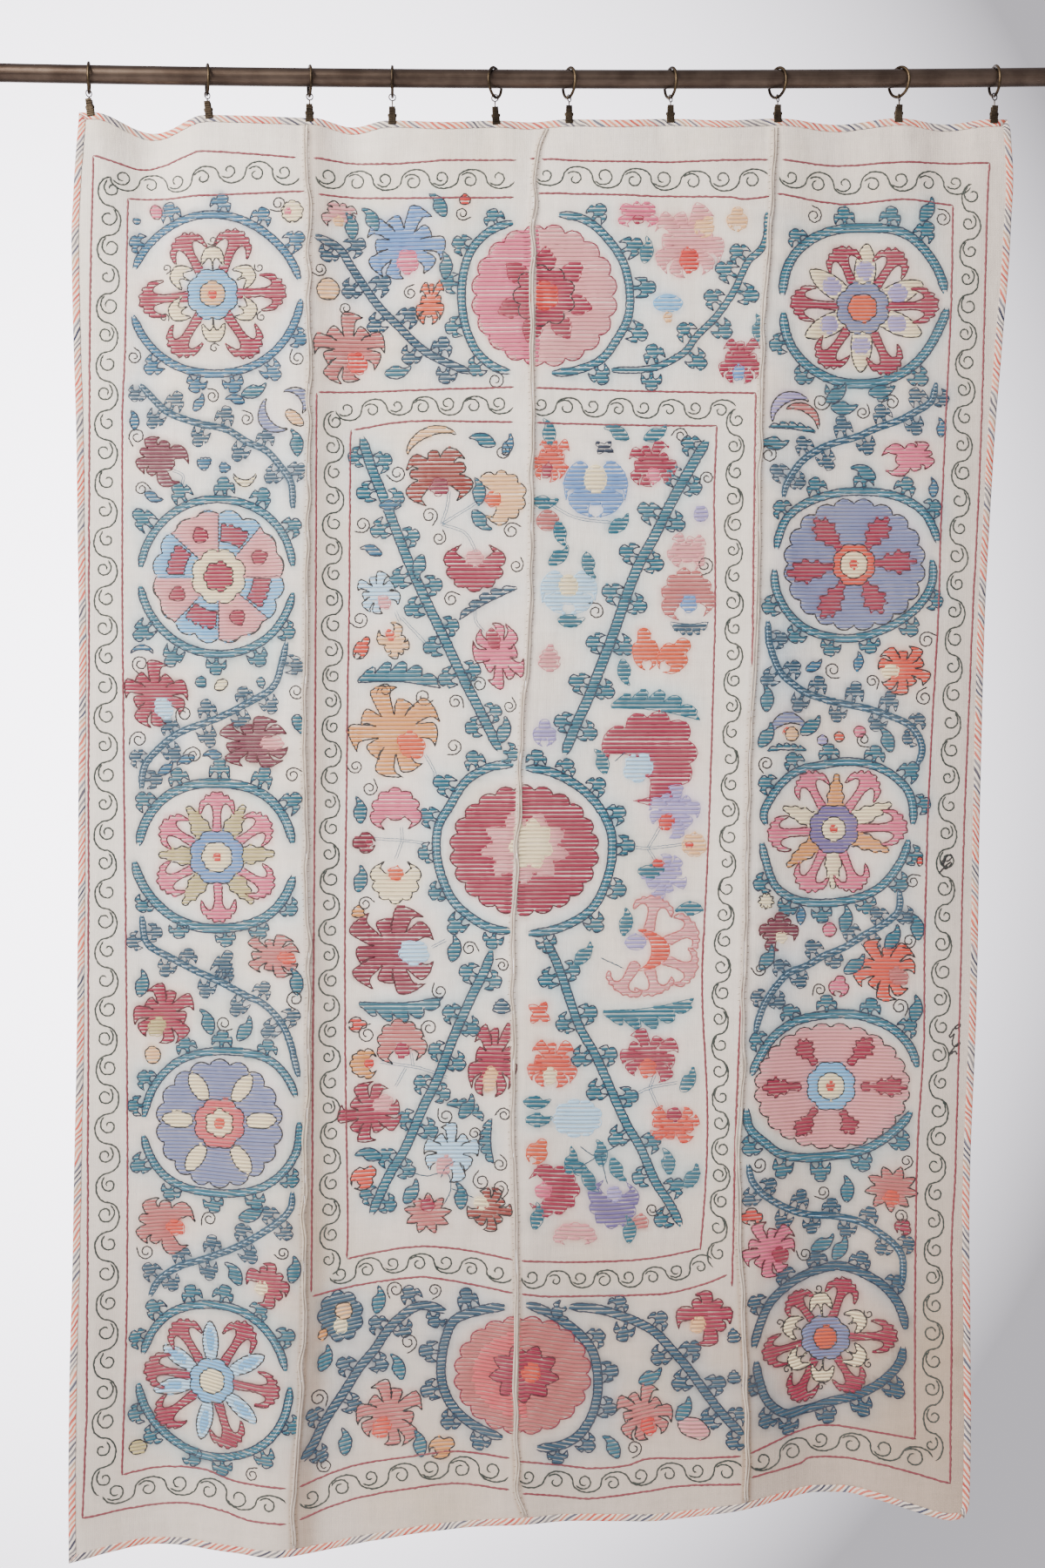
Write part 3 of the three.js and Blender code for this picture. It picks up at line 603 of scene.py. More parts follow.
def fill(outline, silk, ragged=0.5):
    """Fills a closed outline, in chart squares, with laid rows of one silk."""
    shape = from_chart(outline)
    middle = shape[:, 1].mean()
    for panel in range(4):
        x, z = shape.T
        if x.max() < upright(panel, middle) or x.min() > upright(panel + 1, middle):
            continue
        s = z - weft(panel, x, z)
        x_next, s_next = np.roll(x, -1), np.roll(s, -1)
        first = math.ceil((s.min() - FIRST_ROW[panel]) / ROW_PITCH[panel])
        last = math.floor((s.max() - FIRST_ROW[panel]) / ROW_PITCH[panel])
        for k in range(first, last + 1):
            level = FIRST_ROW[panel] + k * ROW_PITCH[panel]
            crossing = (s <= level) != (s_next <= level)
            share = (level - s[crossing]) / (s_next - s)[crossing]
            at = np.sort(mix(x[crossing], x_next[crossing], share))
            low = float(upright(panel, level)) + (TAPE_FREE if panel == 0 else SEAM_FREE)
            high = float(upright(panel + 1, level)) - (TAPE_FREE if panel == 3 else SEAM_FREE)
            for a, b in zip(at[::2], at[1::2]):
                a = max(a + hand.normal(0, ragged), low)
                b = min(b + hand.normal(0, ragged), high)
                if b - a > 1.8:
                    lay_row((panel, k), a, b, silk)


def free_runs(points, free, width):
    """The parts of a line where it is free, as runs of more than two points."""
    breaks = np.flatnonzero(np.diff(free.astype(int))) + 1
    runs = zip(np.split(points, breaks), np.split(free, breaks))
    return [(run, width) for run, ok in runs if ok[0] and len(run) > 2]


def clear(outline):
    """Takes out the stem stitches that a new motif covers."""
    shape = from_chart(outline)
    low, high = shape.min(axis=0), shape.max(axis=0)
    a, b = shape, np.roll(shape, -1, axis=0)
    for silk, runs in stem_lines.items():
        kept = []
        for points, width in runs:
            if (points.max(axis=0) < low).any() or (points.min(axis=0) > high).any():
                kept.append((points, width))
                continue
            x, z = points[:, :1], points[:, 1:]
            crosses = (a[:, 1] <= z) != (b[:, 1] <= z)
            rise = np.where(a[:, 1] == b[:, 1], 1.0, b[:, 1] - a[:, 1])
            at = a[:, 0] + (z - a[:, 1]) / rise * (b[:, 0] - a[:, 0])
            kept += free_runs(points, (crosses & (at > x)).sum(axis=1) % 2 == 0, width)
        stem_lines[silk] = kept


def evenly(points, step):
    """The same line with points a step apart."""
    points = np.asarray(points, float)
    gone = np.concatenate([[0], np.cumsum(np.hypot(*np.diff(points, axis=0).T))])
    count = max(2, int(round(gone[-1] / step)))
    at = np.linspace(0, gone[-1], count + 1)
    return np.stack([np.interp(at, gone, points[:, k]) for k in (0, 1)], -1)


def stitch(line, silk="charcoal", width=1.7, closed=False, step=3.4):
    """A line of stem stitch along chart points, left out where it would cross a seam."""
    line = np.asarray(line, float)
    if closed:
        line = np.vstack([line, line[:1]])
    points = evenly(from_chart(line), step)
    if len(points) < 3:
        return
    points = points + hand.normal(0, 0.22, points.shape)
    stem_lines[silk] += free_runs(points, seam_distance(*points.T) > SEAM_FREE - 0.8, width)


print("silks:", len(SILKS))

# %% [markdown]
# ## A small library of motifs
# Suzani patterns are put together from a few forms: round flowers with scalloped rims, flared
# arms, little three-lobed buds, curling leaves and tendrils. Each is one function or one short
# half profile that is mirrored, drawn on a unit from its foot at 0 to its tip at 1. A motif is
# then turned, sized and set on the chart.

# %% Smooth lines and unit forms
def soft(points, closed=True, per=5):
    """A smooth line through points, given as x, y after x, y, after Catmull and Rom."""
    p = np.asarray(points, float).reshape(-1, 2)
    if closed:
        p = np.vstack([p[-1:], p, p[:2]])
    else:
        p = np.vstack([2 * p[:1] - p[1:2], p, 2 * p[-1:] - p[-2:-1]])
    t = np.linspace(0, 1, per, endpoint=False)[:, None]
    pieces = []
    for a, b, c, d in zip(p, p[1:], p[2:], p[3:]):
        pieces.append(
            0.5 * (2 * b + (c - a) * t + (2 * a - 5 * b + 4 * c - d) * t**2
                   + (3 * b - a - 3 * c + d) * t**3)
        )
    line = np.vstack(pieces)
    return line if closed else np.vstack([line, p[-2:-1]])


def mirrored(half, per=5):
    """A closed form from the right half of its outline, foot first."""
    half = np.reshape(half, (-1, 2))
    return soft(np.vstack([half, (half * [-1, 1])[::-1]]), per=per)


# Half widths and heights of the forms, from foot to tip.
BUD = mirrored([0.16, 0, 0.15, 0.26, 0.42, 0.40, 0.72, 0.30, 0.96, 0.10, 0.98, 0.10,
                1.02, 0.46, 0.88, 0.68, 0.54, 0.62, 0.58, 0.86, 0.30, 1], 4)
ARM = mirrored([0.26, 0, 0.22, 0.48, 0.25, 0.66, 0.42, 0.77, 0.66, 0.76, 0.84, 0.68,
                1, 0.58, 1.04, 0.72, 0.94, 0.84, 0.76, 0.85, 0.66, 0.94, 0.42, 0.92,
                0.30, 1, 0.08, 0.98])
CAP = mirrored([0.05, 0, 0.06, 0.44, 0.34, 0.58, 0.70, 0.44, 1, 0.30, 0.98, 0.60,
                0.74, 0.86, 0.36, 0.98])
OAK = mirrored([0.20, 0, 0.70, 0.10, 1, 0.26, 0.72, 0.36, 0.92, 0.50, 0.62, 0.60,
                0.66, 0.74, 0.34, 0.80, 0.24, 0.95])
POD = mirrored([0.45, 0, 0.85, 0.22, 1, 0.52, 0.72, 0.80, 0.22, 0.98])
LEAF = soft([0, 0, 0.75, 0.2, 1, 0.5, 0.55, 0.8, -0.35, 1, -0.2, 0.72,
             -0.75, 0.5, -0.55, 0.2])


def lobed(lobes, depth=0.12, turn=0.0):
    """A round flower with a scalloped rim, of radius 1 about 0."""
    a = np.linspace(0, 2 * np.pi, lobes * 8, endpoint=False)
    r = 1 - depth + depth * np.abs(np.sin(lobes * (a + turn) / 2)) ** 0.7
    return np.stack([r * np.cos(a), r * np.sin(a)], -1)


def plume(lobes, deep=0.84, foot=0.16):
    """A flower seen from its side, of radius 1 about 0. Each lobe is where it points, in
    degrees from the tip, how far it reaches, and by how many degrees its end hooks over the
    next lobe: 0 for a round one."""
    at = [lobe[0] for lobe in lobes]
    gaps = [(a + b) / 2 for a, b in zip(at, at[1:])]
    gaps = [2 * at[0] - gaps[0]] + gaps + [2 * at[-1] - gaps[-1]]
    polar = [(gaps[0], 0.5)]
    for k, (place, far, hook) in enumerate(lobes):
        half = (gaps[k + 1] - gaps[k]) / 2
        low = deep * far
        side = -1 if hook < 0 else 1
        lobe = [(-0.96 * half, low), (-0.5 * half, 0.95 * far), (0.1 * half, far)]
        if hook:
            tip = (half + abs(hook), 0.95 * far)
            lobe += [(0.7 * half, 0.98 * far), tip, tip, (0.95 * half, 0.82 * far)]
        else:
            lobe += [(0.6 * half, 0.94 * far)]
        lobe += [(0.94 * half, low)]
        polar += [(place + side * turn, reach) for turn, reach in lobe[::side]]
    polar.append((gaps[-1], 0.5))
    a, r = np.radians([p[0] for p in polar]), np.array([p[1] for p in polar])
    line = np.stack([r * np.sin(a), r * np.cos(a)], -1)
    return soft(np.vstack([line, [[foot, -0.5], [-foot, -0.5]]]), per=3)


def spiky(points, depth=0.42, hook=9):
    """A flower of pointed petals all round, of radius 1 about 0."""
    t = np.linspace(0, points, points * 8, endpoint=False)
    part = t % 1
    r = 1 - depth + depth * (1 - np.abs(2 * part - 1)) ** 0.9
    a = np.radians(t / points * 360 + hook * r)
    return np.stack([r * np.cos(a), r * np.sin(a)], -1)


def comb(teeth, side=1, bend=0.5):
    """A long leaf from 0 to 1 along y, with round teeth that hook along one edge."""
    u = np.linspace(0, teeth, teeth * 7 + 1)
    part = u % 1
    body = np.sin(np.pi * np.clip(u / teeth, 0.04, 0.96)) ** 0.4
    tooth = 0.25 + 0.75 * np.sin(np.pi * part**1.7) ** 0.6
    toothed = np.stack([tooth * body, (u + 0.3 * part**3) / (teeth + 0.3)], -1)
    plain = np.stack([-0.4 * body, u / teeth], -1)[::-1]
    line = np.vstack([toothed, plain])
    line[:, 0] = side * (line[:, 0] + bend * np.sin(np.pi * line[:, 1]) - bend / 2)
    return line


def crescent(thick=0.4):
    a = np.radians(np.linspace(20, 160, 18))
    outer = np.stack([np.cos(a), np.sin(a)], -1)
    inner = np.stack([np.cos(a), np.sin(a) * (1 - thick)], -1)[::-1]
    return np.vstack([outer, inner])


def placed(form, foot, length, half_width, turn):
    """A unit form on the chart: its foot, its size in squares and the way it grows.
    Turn is in degrees, 0 to the right and 90 up."""
    a = math.radians(turn)
    along = form[:, 1:2] * length * np.array([[math.cos(a), -math.sin(a)]])
    across = form[:, 0:1] * half_width * np.array([[math.sin(a), math.cos(a)]])
    return np.asarray(foot, float) + along + across


def centred(form, at, width, height, turn=90):
    """A unit form whose middle, not its foot, is at a place. Sizes are the whole sizes."""
    low = form[:, 1].min() >= -0.01
    form = (form - [0, 0.5]) * [1, 2] if low else form
    return placed(form, at, height / 2, width / 2, turn)


def motif(outline, silk, edge="charcoal", ragged=0.5, width=2.6):
    """Rows of silk inside an outline, and a line of stem stitch round it. Without an edge
    colour the line is a thin one of the same silk."""
    clear(outline)
    if silk:
        fill(outline, silk, ragged if edge else 0.9)
    if edge or silk:
        stitch(outline, edge or silk, width if edge else 1.5, closed=True)


def curl(at, radius, start=90, turns=1.35, way=1, silk="charcoal", width=2.4, stem=0.0):
    """A tendril: a spiral that winds in from its start angle, with a short stem."""
    t = np.linspace(0, 1, 26)
    a = np.radians(start + way * 360 * turns * t)
    r = radius * (1 - 0.72 * t)
    line = np.stack([at[0] + r * np.cos(a), at[1] - r * np.sin(a)], -1)
    if stem:
        first = np.radians(start - way * 90)
        foot = line[0] + stem * np.array([np.cos(first), -np.sin(first)])
        line = np.vstack([foot, line])
    stitch(line, silk, width, step=2.6)


print("points in a bud:", len(BUD))

# %% [markdown]
# Vines hold the pattern together. A vine is a band of rows between two lines of stem stitch,
# and a ring has a pale line in its middle too. Buds grow from the nearest place on their vine
# and point away from it, so a table needs only the place of each bud. All places are given as
# x, y after x, y, in squares of the chart.

# %% Vines, rings and buds
def beside(spine, off):
    """The line that runs beside a spine, off squares to its right on the chart."""
    tangent = np.gradient(spine, axis=0)
    tangent /= np.linalg.norm(tangent, axis=1, keepdims=True) + 1e-9
    return spine + np.stack([-tangent[:, 1], tangent[:, 0]], -1) * np.reshape(off, (-1, 1))


def band(spine, width, silk="teal", edge="navy", pale="ice"):
    """A broad vine: rows of silk, a dark line on both edges and a pale one in the middle."""
    spine = evenly(spine, 0.35)
    place = np.arange(len(spine))
    taper = np.minimum(1, 0.45 + np.minimum(place, place[::-1]) / 5)
    left, right = beside(spine, width / 2 * taper), beside(spine, -width / 2 * taper)
    fill(np.vstack([left, right[::-1]]), silk, 0.4)
    stitch(left, edge, 2.5)
    stitch(right, edge, 2.5)
    if pale:
        stitch(beside(spine, 0.1), pale, 1.1, step=5)


def grow(buds, spine, silk="teal", edge="navy", half_vine=0.35, size=1.0, width=2.5):
    """Buds at places on the chart, each on a stalk from the nearest point of its vine."""
    for bud in np.reshape(buds, (-1, 2)):
        away = bud - spine
        gap = np.hypot(*away.T)
        near = int(np.argmin(gap))
        way = away[near] / max(gap[near], 0.01)
        foot = spine[near] + way * half_vine
        length = max(gap[near] - half_vine + 0.95 * size, 1.7 * size)
        turn = math.degrees(math.atan2(-way[1], way[0]))
        motif(placed(BUD, foot, length, 1.15 * size, turn), silk, edge, 0.4, width)


def arc(centre, points):
    """A smooth arc about a centre through a few chart points."""
    off = np.reshape(points, (-1, 2)) - centre
    a = np.unwrap(np.arctan2(off[:, 1], off[:, 0]))
    polar = soft(np.stack([a, np.hypot(*off.T)], -1), closed=False, per=10)
    return centre + np.stack([np.cos(polar[:, 0]), np.sin(polar[:, 0])], -1) * polar[:, 1:]


RING_SHINE = {"steel": "sky", "teal": "ice"}  # the pale line in the middle of a ring
# Each ring: its centre, width, silk, the places its two arcs run through, and its buds.
RINGS = [
    dict(at=(24.7, 33.8), width=0.72, silk="steel",
         arcs=[[15.3, 30.7, 18.2, 26.6, 24.3, 24.6, 30.6, 26.9, 34.4, 32.2],
               [15.2, 36.2, 18.6, 41, 25.1, 42.9, 31.3, 40.6, 34.6, 34.5]],
         buds=[15.9, 27.8, 19.3, 23.9, 25.4, 23.3, 30.1, 24.9, 34.1, 27.6, 34.3, 38.9,
               31.4, 42.8, 26.8, 44.1, 22.5, 44.1, 17.4, 42]),
    dict(at=(25, 66.2), width=0.72, silk="teal",
         arcs=[[16.1, 65.1, 18.6, 59.9, 25.2, 57.3, 31.4, 59.9, 33.7, 65.1],
               [16.1, 67.3, 18.9, 72.6, 24.9, 75.1, 31.2, 72.8, 33.7, 68.2]],
         buds=[16.1, 59.3, 20.6, 56.4, 25.7, 55.8, 30.1, 57, 33.7, 60.5, 16.2, 72.7,
               19.7, 75.6, 24.8, 76.5, 29.7, 75.6, 33, 72.5]),
    dict(at=(24.8, 98.3), width=0.85, silk="teal",
         arcs=[[15.9, 97, 18.4, 92, 25.2, 89.9, 31.2, 91.9, 33.7, 96.8],
               [15.4, 98.9, 18.6, 104.4, 25.7, 106.6, 31.4, 104.6, 33.8, 100.5]],
         buds=[16.5, 91.9, 20.4, 89.2, 25.2, 88, 30.3, 89, 33.8, 91.9, 16.5, 103.8,
               20.5, 106.6, 25.9, 107.7, 29.8, 106.8, 33.2, 104.1]),
    dict(at=(25.3, 128.8), width=0.72, silk="teal",
         arcs=[[16.5, 128.2, 19.2, 122.8, 26, 120.7, 31.6, 122, 34.1, 125.8],
               [16.4, 130.4, 18.9, 135.2, 24.9, 137, 31.5, 135.4, 34.1, 132.1, 34.4, 128.7]],
         buds=[21.3, 120.1, 25.5, 119.3, 30.8, 120.3, 16.7, 123.9, 15.8, 127,
               15.9, 133.8, 19.6, 136.7, 24.5, 138.3, 29.4, 137.8, 33.4, 135.1]),
    dict(at=(24.7, 158.6), width=0.75, silk="teal",
         arcs=[[16.3, 155.6, 18.8, 151.4, 24, 149.8, 30, 151.9, 32.9, 157],
               [15.8, 159, 18.8, 164.8, 26.2, 167.3, 31.2, 164.8, 33.4, 159]],
         buds=[17.6, 150.3, 21.9, 148.6, 25.7, 148.5, 29.8, 150.4, 33, 153.2,
               15.8, 153.8, 15.8, 162.4, 17.4, 165, 21.7, 167, 25.5, 168.5,
               30.6, 167.3, 33.5, 163.3]),
    dict(at=(62.5, 34), width=0.75, silk="teal",
         arcs=[[58.9, 25.6, 56.4, 26.5, 54.3, 28.5, 53.2, 31.5, 53, 34.6, 53.6, 38,
                54.9, 40.6, 56.8, 42.2, 58.6, 42.8],
               [64.1, 24.7, 67.2, 25.3, 69.8, 27.5, 71.6, 30.3, 72.3, 33.4, 72.1, 36.5,
                70.8, 39, 69.1, 41.2, 66.6, 42.4, 63.4, 42.9]],
         buds=[56.7, 25, 52.9, 28.1, 51.6, 32.5, 52.1, 37.6, 54.7, 42.2, 68.7, 24.4,
               72.8, 28.2, 74.3, 33, 73.4, 38.3, 69, 43.2]),
    dict(at=(99.2, 35.1), width=0.85, silk="teal",
         arcs=[[89.8, 34, 90.7, 30.1, 93, 27.6, 96.5, 26.2, 99.9, 26.1, 104, 26.9,
                107, 29.8, 108.5, 33.6],
               [89.9, 36, 90.7, 39.6, 93, 42.2, 96.1, 43.7, 99.9, 44, 104, 42.6,
                107.4, 38.6, 108.7, 35.4]],
         buds=[91.5, 27.3, 97, 24.6, 102.3, 24.7, 106.4, 26.4, 89.3, 39.6, 92.2, 43.2,
               95.9, 45.1, 101.3, 45.1, 105.6, 43.4]),
    dict(at=(98, 64.8), width=0.75, silk="teal",
         arcs=[[89.1, 63.1, 89.4, 61.5, 90.5, 59.3, 93.4, 57.4, 96.1, 56.6, 99.3, 56.4,
                102.4, 56.8, 105.6, 58.4, 106.9, 60.1, 107.7, 62.3],
               [88.9, 65.4, 89, 67.5, 90.3, 70.2, 92.4, 72.1, 95.4, 73.1, 99.1, 73.1,
                101.4, 72.3, 103.8, 71, 106.1, 68.8, 107.1, 66.5, 107, 64.3]],
         buds=[93.7, 55.8, 99.2, 54.8, 104, 55.8, 106.8, 58.5, 89.7, 58.5, 88.4, 69.7,
               91.4, 72.9, 95.4, 74.3, 99.9, 74, 104.5, 72.1, 106.9, 68.8]),
    dict(at=(95.9, 95.4), width=0.75, silk="teal",
         arcs=[[87.9, 94.7, 87.6, 93.4, 88.7, 91.2, 91.4, 88.6, 94.6, 87.8, 98.5, 87.5,
                100.9, 88.1, 103, 89.4, 104.5, 91.3, 104.8, 94.7],
               [87.4, 96.7, 87.9, 99, 89, 101.7, 90.9, 103.1, 94.6, 103.7,
                97.8, 103.3, 100.9, 102, 102.9, 99.8, 104.3, 96.4]],
         buds=[88, 90, 91.1, 87.4, 95.2, 86.4, 100.5, 86.6, 104.6, 88.4,
               105.6, 92.4, 104.8, 98.2, 103.3, 101.4, 87.4, 101.4, 90.3, 104.2,
               94.4, 105, 99.5, 103.9]),
    dict(at=(95.5, 124.6), width=0.8, silk="teal",
         arcs=[[86.2, 123.3, 87.1, 121.4, 88.2, 119.6, 91.1, 117.4, 94.6, 116.6,
                99.4, 116.8, 102.9, 118.4, 104.6, 120.4, 105.3, 122.5],
               [85.6, 127.1, 86, 129.4, 87.9, 131.2, 89.5, 132.4, 92.3, 133,
                95.6, 132.8, 98.9, 132.2, 102.2, 130.3, 104.6, 127.6]],
         buds=[90.7, 116.3, 95, 115.3, 100, 115.6, 104.3, 117.9, 87.1, 119.5,
               103.5, 131.1, 86.1, 131.6, 89.8, 134.3, 94.3, 134.8, 99.1, 133.6]),
    dict(at=(95.2, 153.8), width=0.8, silk="slate",
         arcs=[[86.5, 154.6, 87.2, 152, 88.3, 149.6, 90.6, 147.5, 94, 146,
                96.4, 145.5, 98.9, 146.2, 101.4, 147.6, 103.1, 149.6, 104, 152.6],
               [86.8, 156.1, 87.2, 158.6, 88.2, 160.9, 90.3, 162.4, 92.3, 162.1,
                95.6, 161.2, 98.9, 160.1, 101.7, 158.3, 103.4, 156.3, 103.7, 154.6]],
         buds=[90.1, 146.4, 93.9, 144.8, 98.9, 144.8, 102.7, 147.5, 86.8, 149.5,
               102.9, 159.6, 99.1, 161.8, 95.1, 162.8, 90.6, 163.9, 88, 162.9,
               86.3, 158.9]),
    dict(at=(60, 157.8), width=0.85, silk="slate",
         arcs=[[58, 150, 54.7, 150.5, 52.2, 151.5, 51.2, 153.5, 50.7, 156,
                50.7, 158.4, 51.6, 160.9, 53.4, 162.9, 55.6, 164.2, 57.7, 164.9],
               [60.4, 149.6, 62.4, 150.3, 65, 151.9, 66.8, 153.4, 68.1, 155.3,
                68.6, 157.7, 68.6, 160.1, 68, 162.4, 66.6, 164.6, 64.5, 165.8,
                61.6, 166]],
         buds=[53.6, 148.8, 49.1, 155.1, 49.3, 159.6, 51.6, 163.1, 55.1, 165.4,
               68.5, 153.6, 70, 157.5, 69.8, 161.7, 64, 166.7, 67.4, 165.8]),
    dict(at=(60.2, 97.5), width=0.8, silk="teal",
         arcs=[[59, 87.8, 56.6, 88, 53.6, 89.6, 51.8, 92.3, 50.4, 94.7, 50.1, 97.4,
                50.7, 100.6, 52.1, 103.5, 54.2, 105.4, 56.9, 106.7, 58.8, 106.8],
               [60.3, 88.2, 63.1, 88.6, 65.3, 89.6, 68, 91.7, 70.1, 95.3, 70.3, 98.1,
                69.6, 101.3, 68, 104.3, 64.8, 106.3, 60.7, 107.1]],
         buds=[54.4, 87.2, 50.7, 89.9, 49.1, 93.7, 49, 97.9, 50.2, 102.4, 52.3, 106.3,
               56.6, 107.9, 61.6, 87.1, 65, 88.1, 68.6, 90.2, 70.9, 93.4, 71.9, 97.1,
               70.9, 102.1, 68.4, 106.1, 62.8, 108.4]),
]
for ring in RINGS:
    arcs = [arc(ring["at"], places) for places in ring["arcs"]]
    grow(ring["buds"], np.vstack(arcs), ring["silk"])
    for line in arcs:
        band(line, ring["width"] * 1.15, ring["silk"], "navy", RING_SHINE.get(ring["silk"]))
print("rings:", len(RINGS), "with", sum(len(r["buds"]) for r in RINGS) // 2, "buds")

# %% Vines in the bands and the field
# Each broad vine: the places it runs through, its width, silk and its buds.
BROAD_VINES = [
    dict(line=[36.2, 27.2, 38.8, 28.4, 40, 30.1, 41.7, 32.7, 43.6, 35.3, 45.7, 37.4,
               48, 39.7, 50.3, 41.2, 54, 42.8], width=0.85, silk="slate",
         buds=[37.8, 29.1, 41, 28.1, 40.2, 33.3, 43.9, 32.5, 43.1, 37.3, 47.1, 36.2,
               47.1, 40.9, 50.8, 39.7, 51.2, 43.1]),
    dict(line=[70.2, 42.5, 74.8, 42.3, 78.4, 40.6, 80, 38.6, 82.3, 36.3, 84.3, 33.4,
               85.8, 30.2, 87.3, 28.8, 88, 27, 88, 24.6], width=0.7, silk="teal",
         buds=[75, 40.5, 74.8, 43.8, 78.7, 38, 80.2, 41.5, 81.8, 34.2, 86.1, 34,
               83.1, 38, 84.7, 29.1, 83.1, 31]),
    dict(line=[41.5, 50.1, 42.6, 53.6, 43.9, 56.8, 45.4, 60.7, 46.7, 64, 48.6, 68.3,
               50.9, 73.1, 52.9, 77.3, 55, 81.4, 57.4, 86.2], width=1.05, silk="teal",
         buds=[41.2, 52.4, 41.9, 56.5, 43.5, 60.8, 45.6, 66.6, 47.4, 69.9, 49.6, 74.3,
               51.3, 77.9, 54.4, 83.5, 44, 52.9, 45.4, 57.2, 47.2, 61.6, 49.8, 67.2,
               51.7, 71.9, 54.2, 77, 56.6, 81.8, 58.5, 86.5]),
    dict(line=[81.2, 50.6, 79.7, 53, 78.1, 55.8, 76.6, 58.6, 75.1, 61.7, 73.4, 64.7,
               72.1, 68, 70.6, 72.3, 68.8, 77, 67.5, 80.3, 66.1, 83.3, 64.8, 86.6],
         width=1.1, silk="teal",
         buds=[76.9, 54.5, 74.2, 58.6, 72.1, 63.4, 70.1, 68, 68.3, 73.8, 66.3, 78.3,
               64.6, 82.9, 79.2, 51, 79.6, 55.9, 77.7, 60.1, 75.2, 64.7, 73.3, 69.5,
               71.8, 74.3, 69.6, 79.3, 67.6, 84.1]),
    dict(line=[56.4, 109.2, 55.8, 111.1, 54.2, 114.3, 52.1, 119, 50.2, 123.9,
               48.6, 127.1, 46.6, 131.7, 44.6, 135.1, 42.6, 139.5], width=1.0, silk="teal",
         buds=[53.7, 111.6, 51.8, 116.3, 50.2, 120.6, 48.5, 124.4, 46.6, 128.5,
               44.3, 132.9, 42.4, 137.3, 56.6, 112.6, 54.1, 118, 52.5, 122,
               50.7, 125.5, 49.3, 129.7, 46.7, 134.3, 44.5, 138.3]),
    dict(line=[62.6, 107.9, 63.8, 110.2, 64.8, 112.9, 66.5, 117.8, 68.3, 121,
               69.8, 124.3, 71.8, 128.8, 73.6, 131.9, 75.2, 135.6, 76.9, 138.2,
               78.2, 140.7], width=0.95, silk="teal",
         buds=[62.8, 112.4, 64.8, 117.5, 66.6, 121.5, 68.3, 125.4, 70.8, 130.7,
               73.6, 135.2, 76.1, 140, 65.6, 111.4, 67.6, 116.3, 69.9, 121.1,
               72.3, 125.9, 74.9, 131.1, 77.6, 136.2]),
    dict(line=[34.8, 167.4, 36, 165.7, 37.3, 163.1, 39, 160.6, 40.3, 158.6,
               41.3, 157, 43, 155, 44.3, 153, 45.9, 151.3, 47.8, 150,
               49.6, 150, 51.2, 150.6], width=0.95, silk="slate",
         buds=[47.1, 148.6, 50.1, 151.3, 43.3, 152.1, 46.3, 152.6, 43.6, 156.6,
               39.6, 156.8, 40.6, 161.4, 36.3, 162.6, 36.5, 166.7]),
    dict(line=[65.4, 150, 68.5, 150.3, 71, 151, 73.6, 152, 75.4, 153.1,
               77.2, 155, 78.8, 156.8, 80.5, 159.1, 82.1, 161.2, 83.6, 162.9,
               85.2, 164.4], width=0.95, silk="slate",
         buds=[64.7, 150.3, 71, 149.8, 71.6, 153.1, 75.7, 151.5, 75.7, 155.8,
               79.5, 154.8, 78.1, 158.7, 82.3, 158.7, 81.2, 163.1, 84.5, 162.5,
               84.3, 165.2]),
]
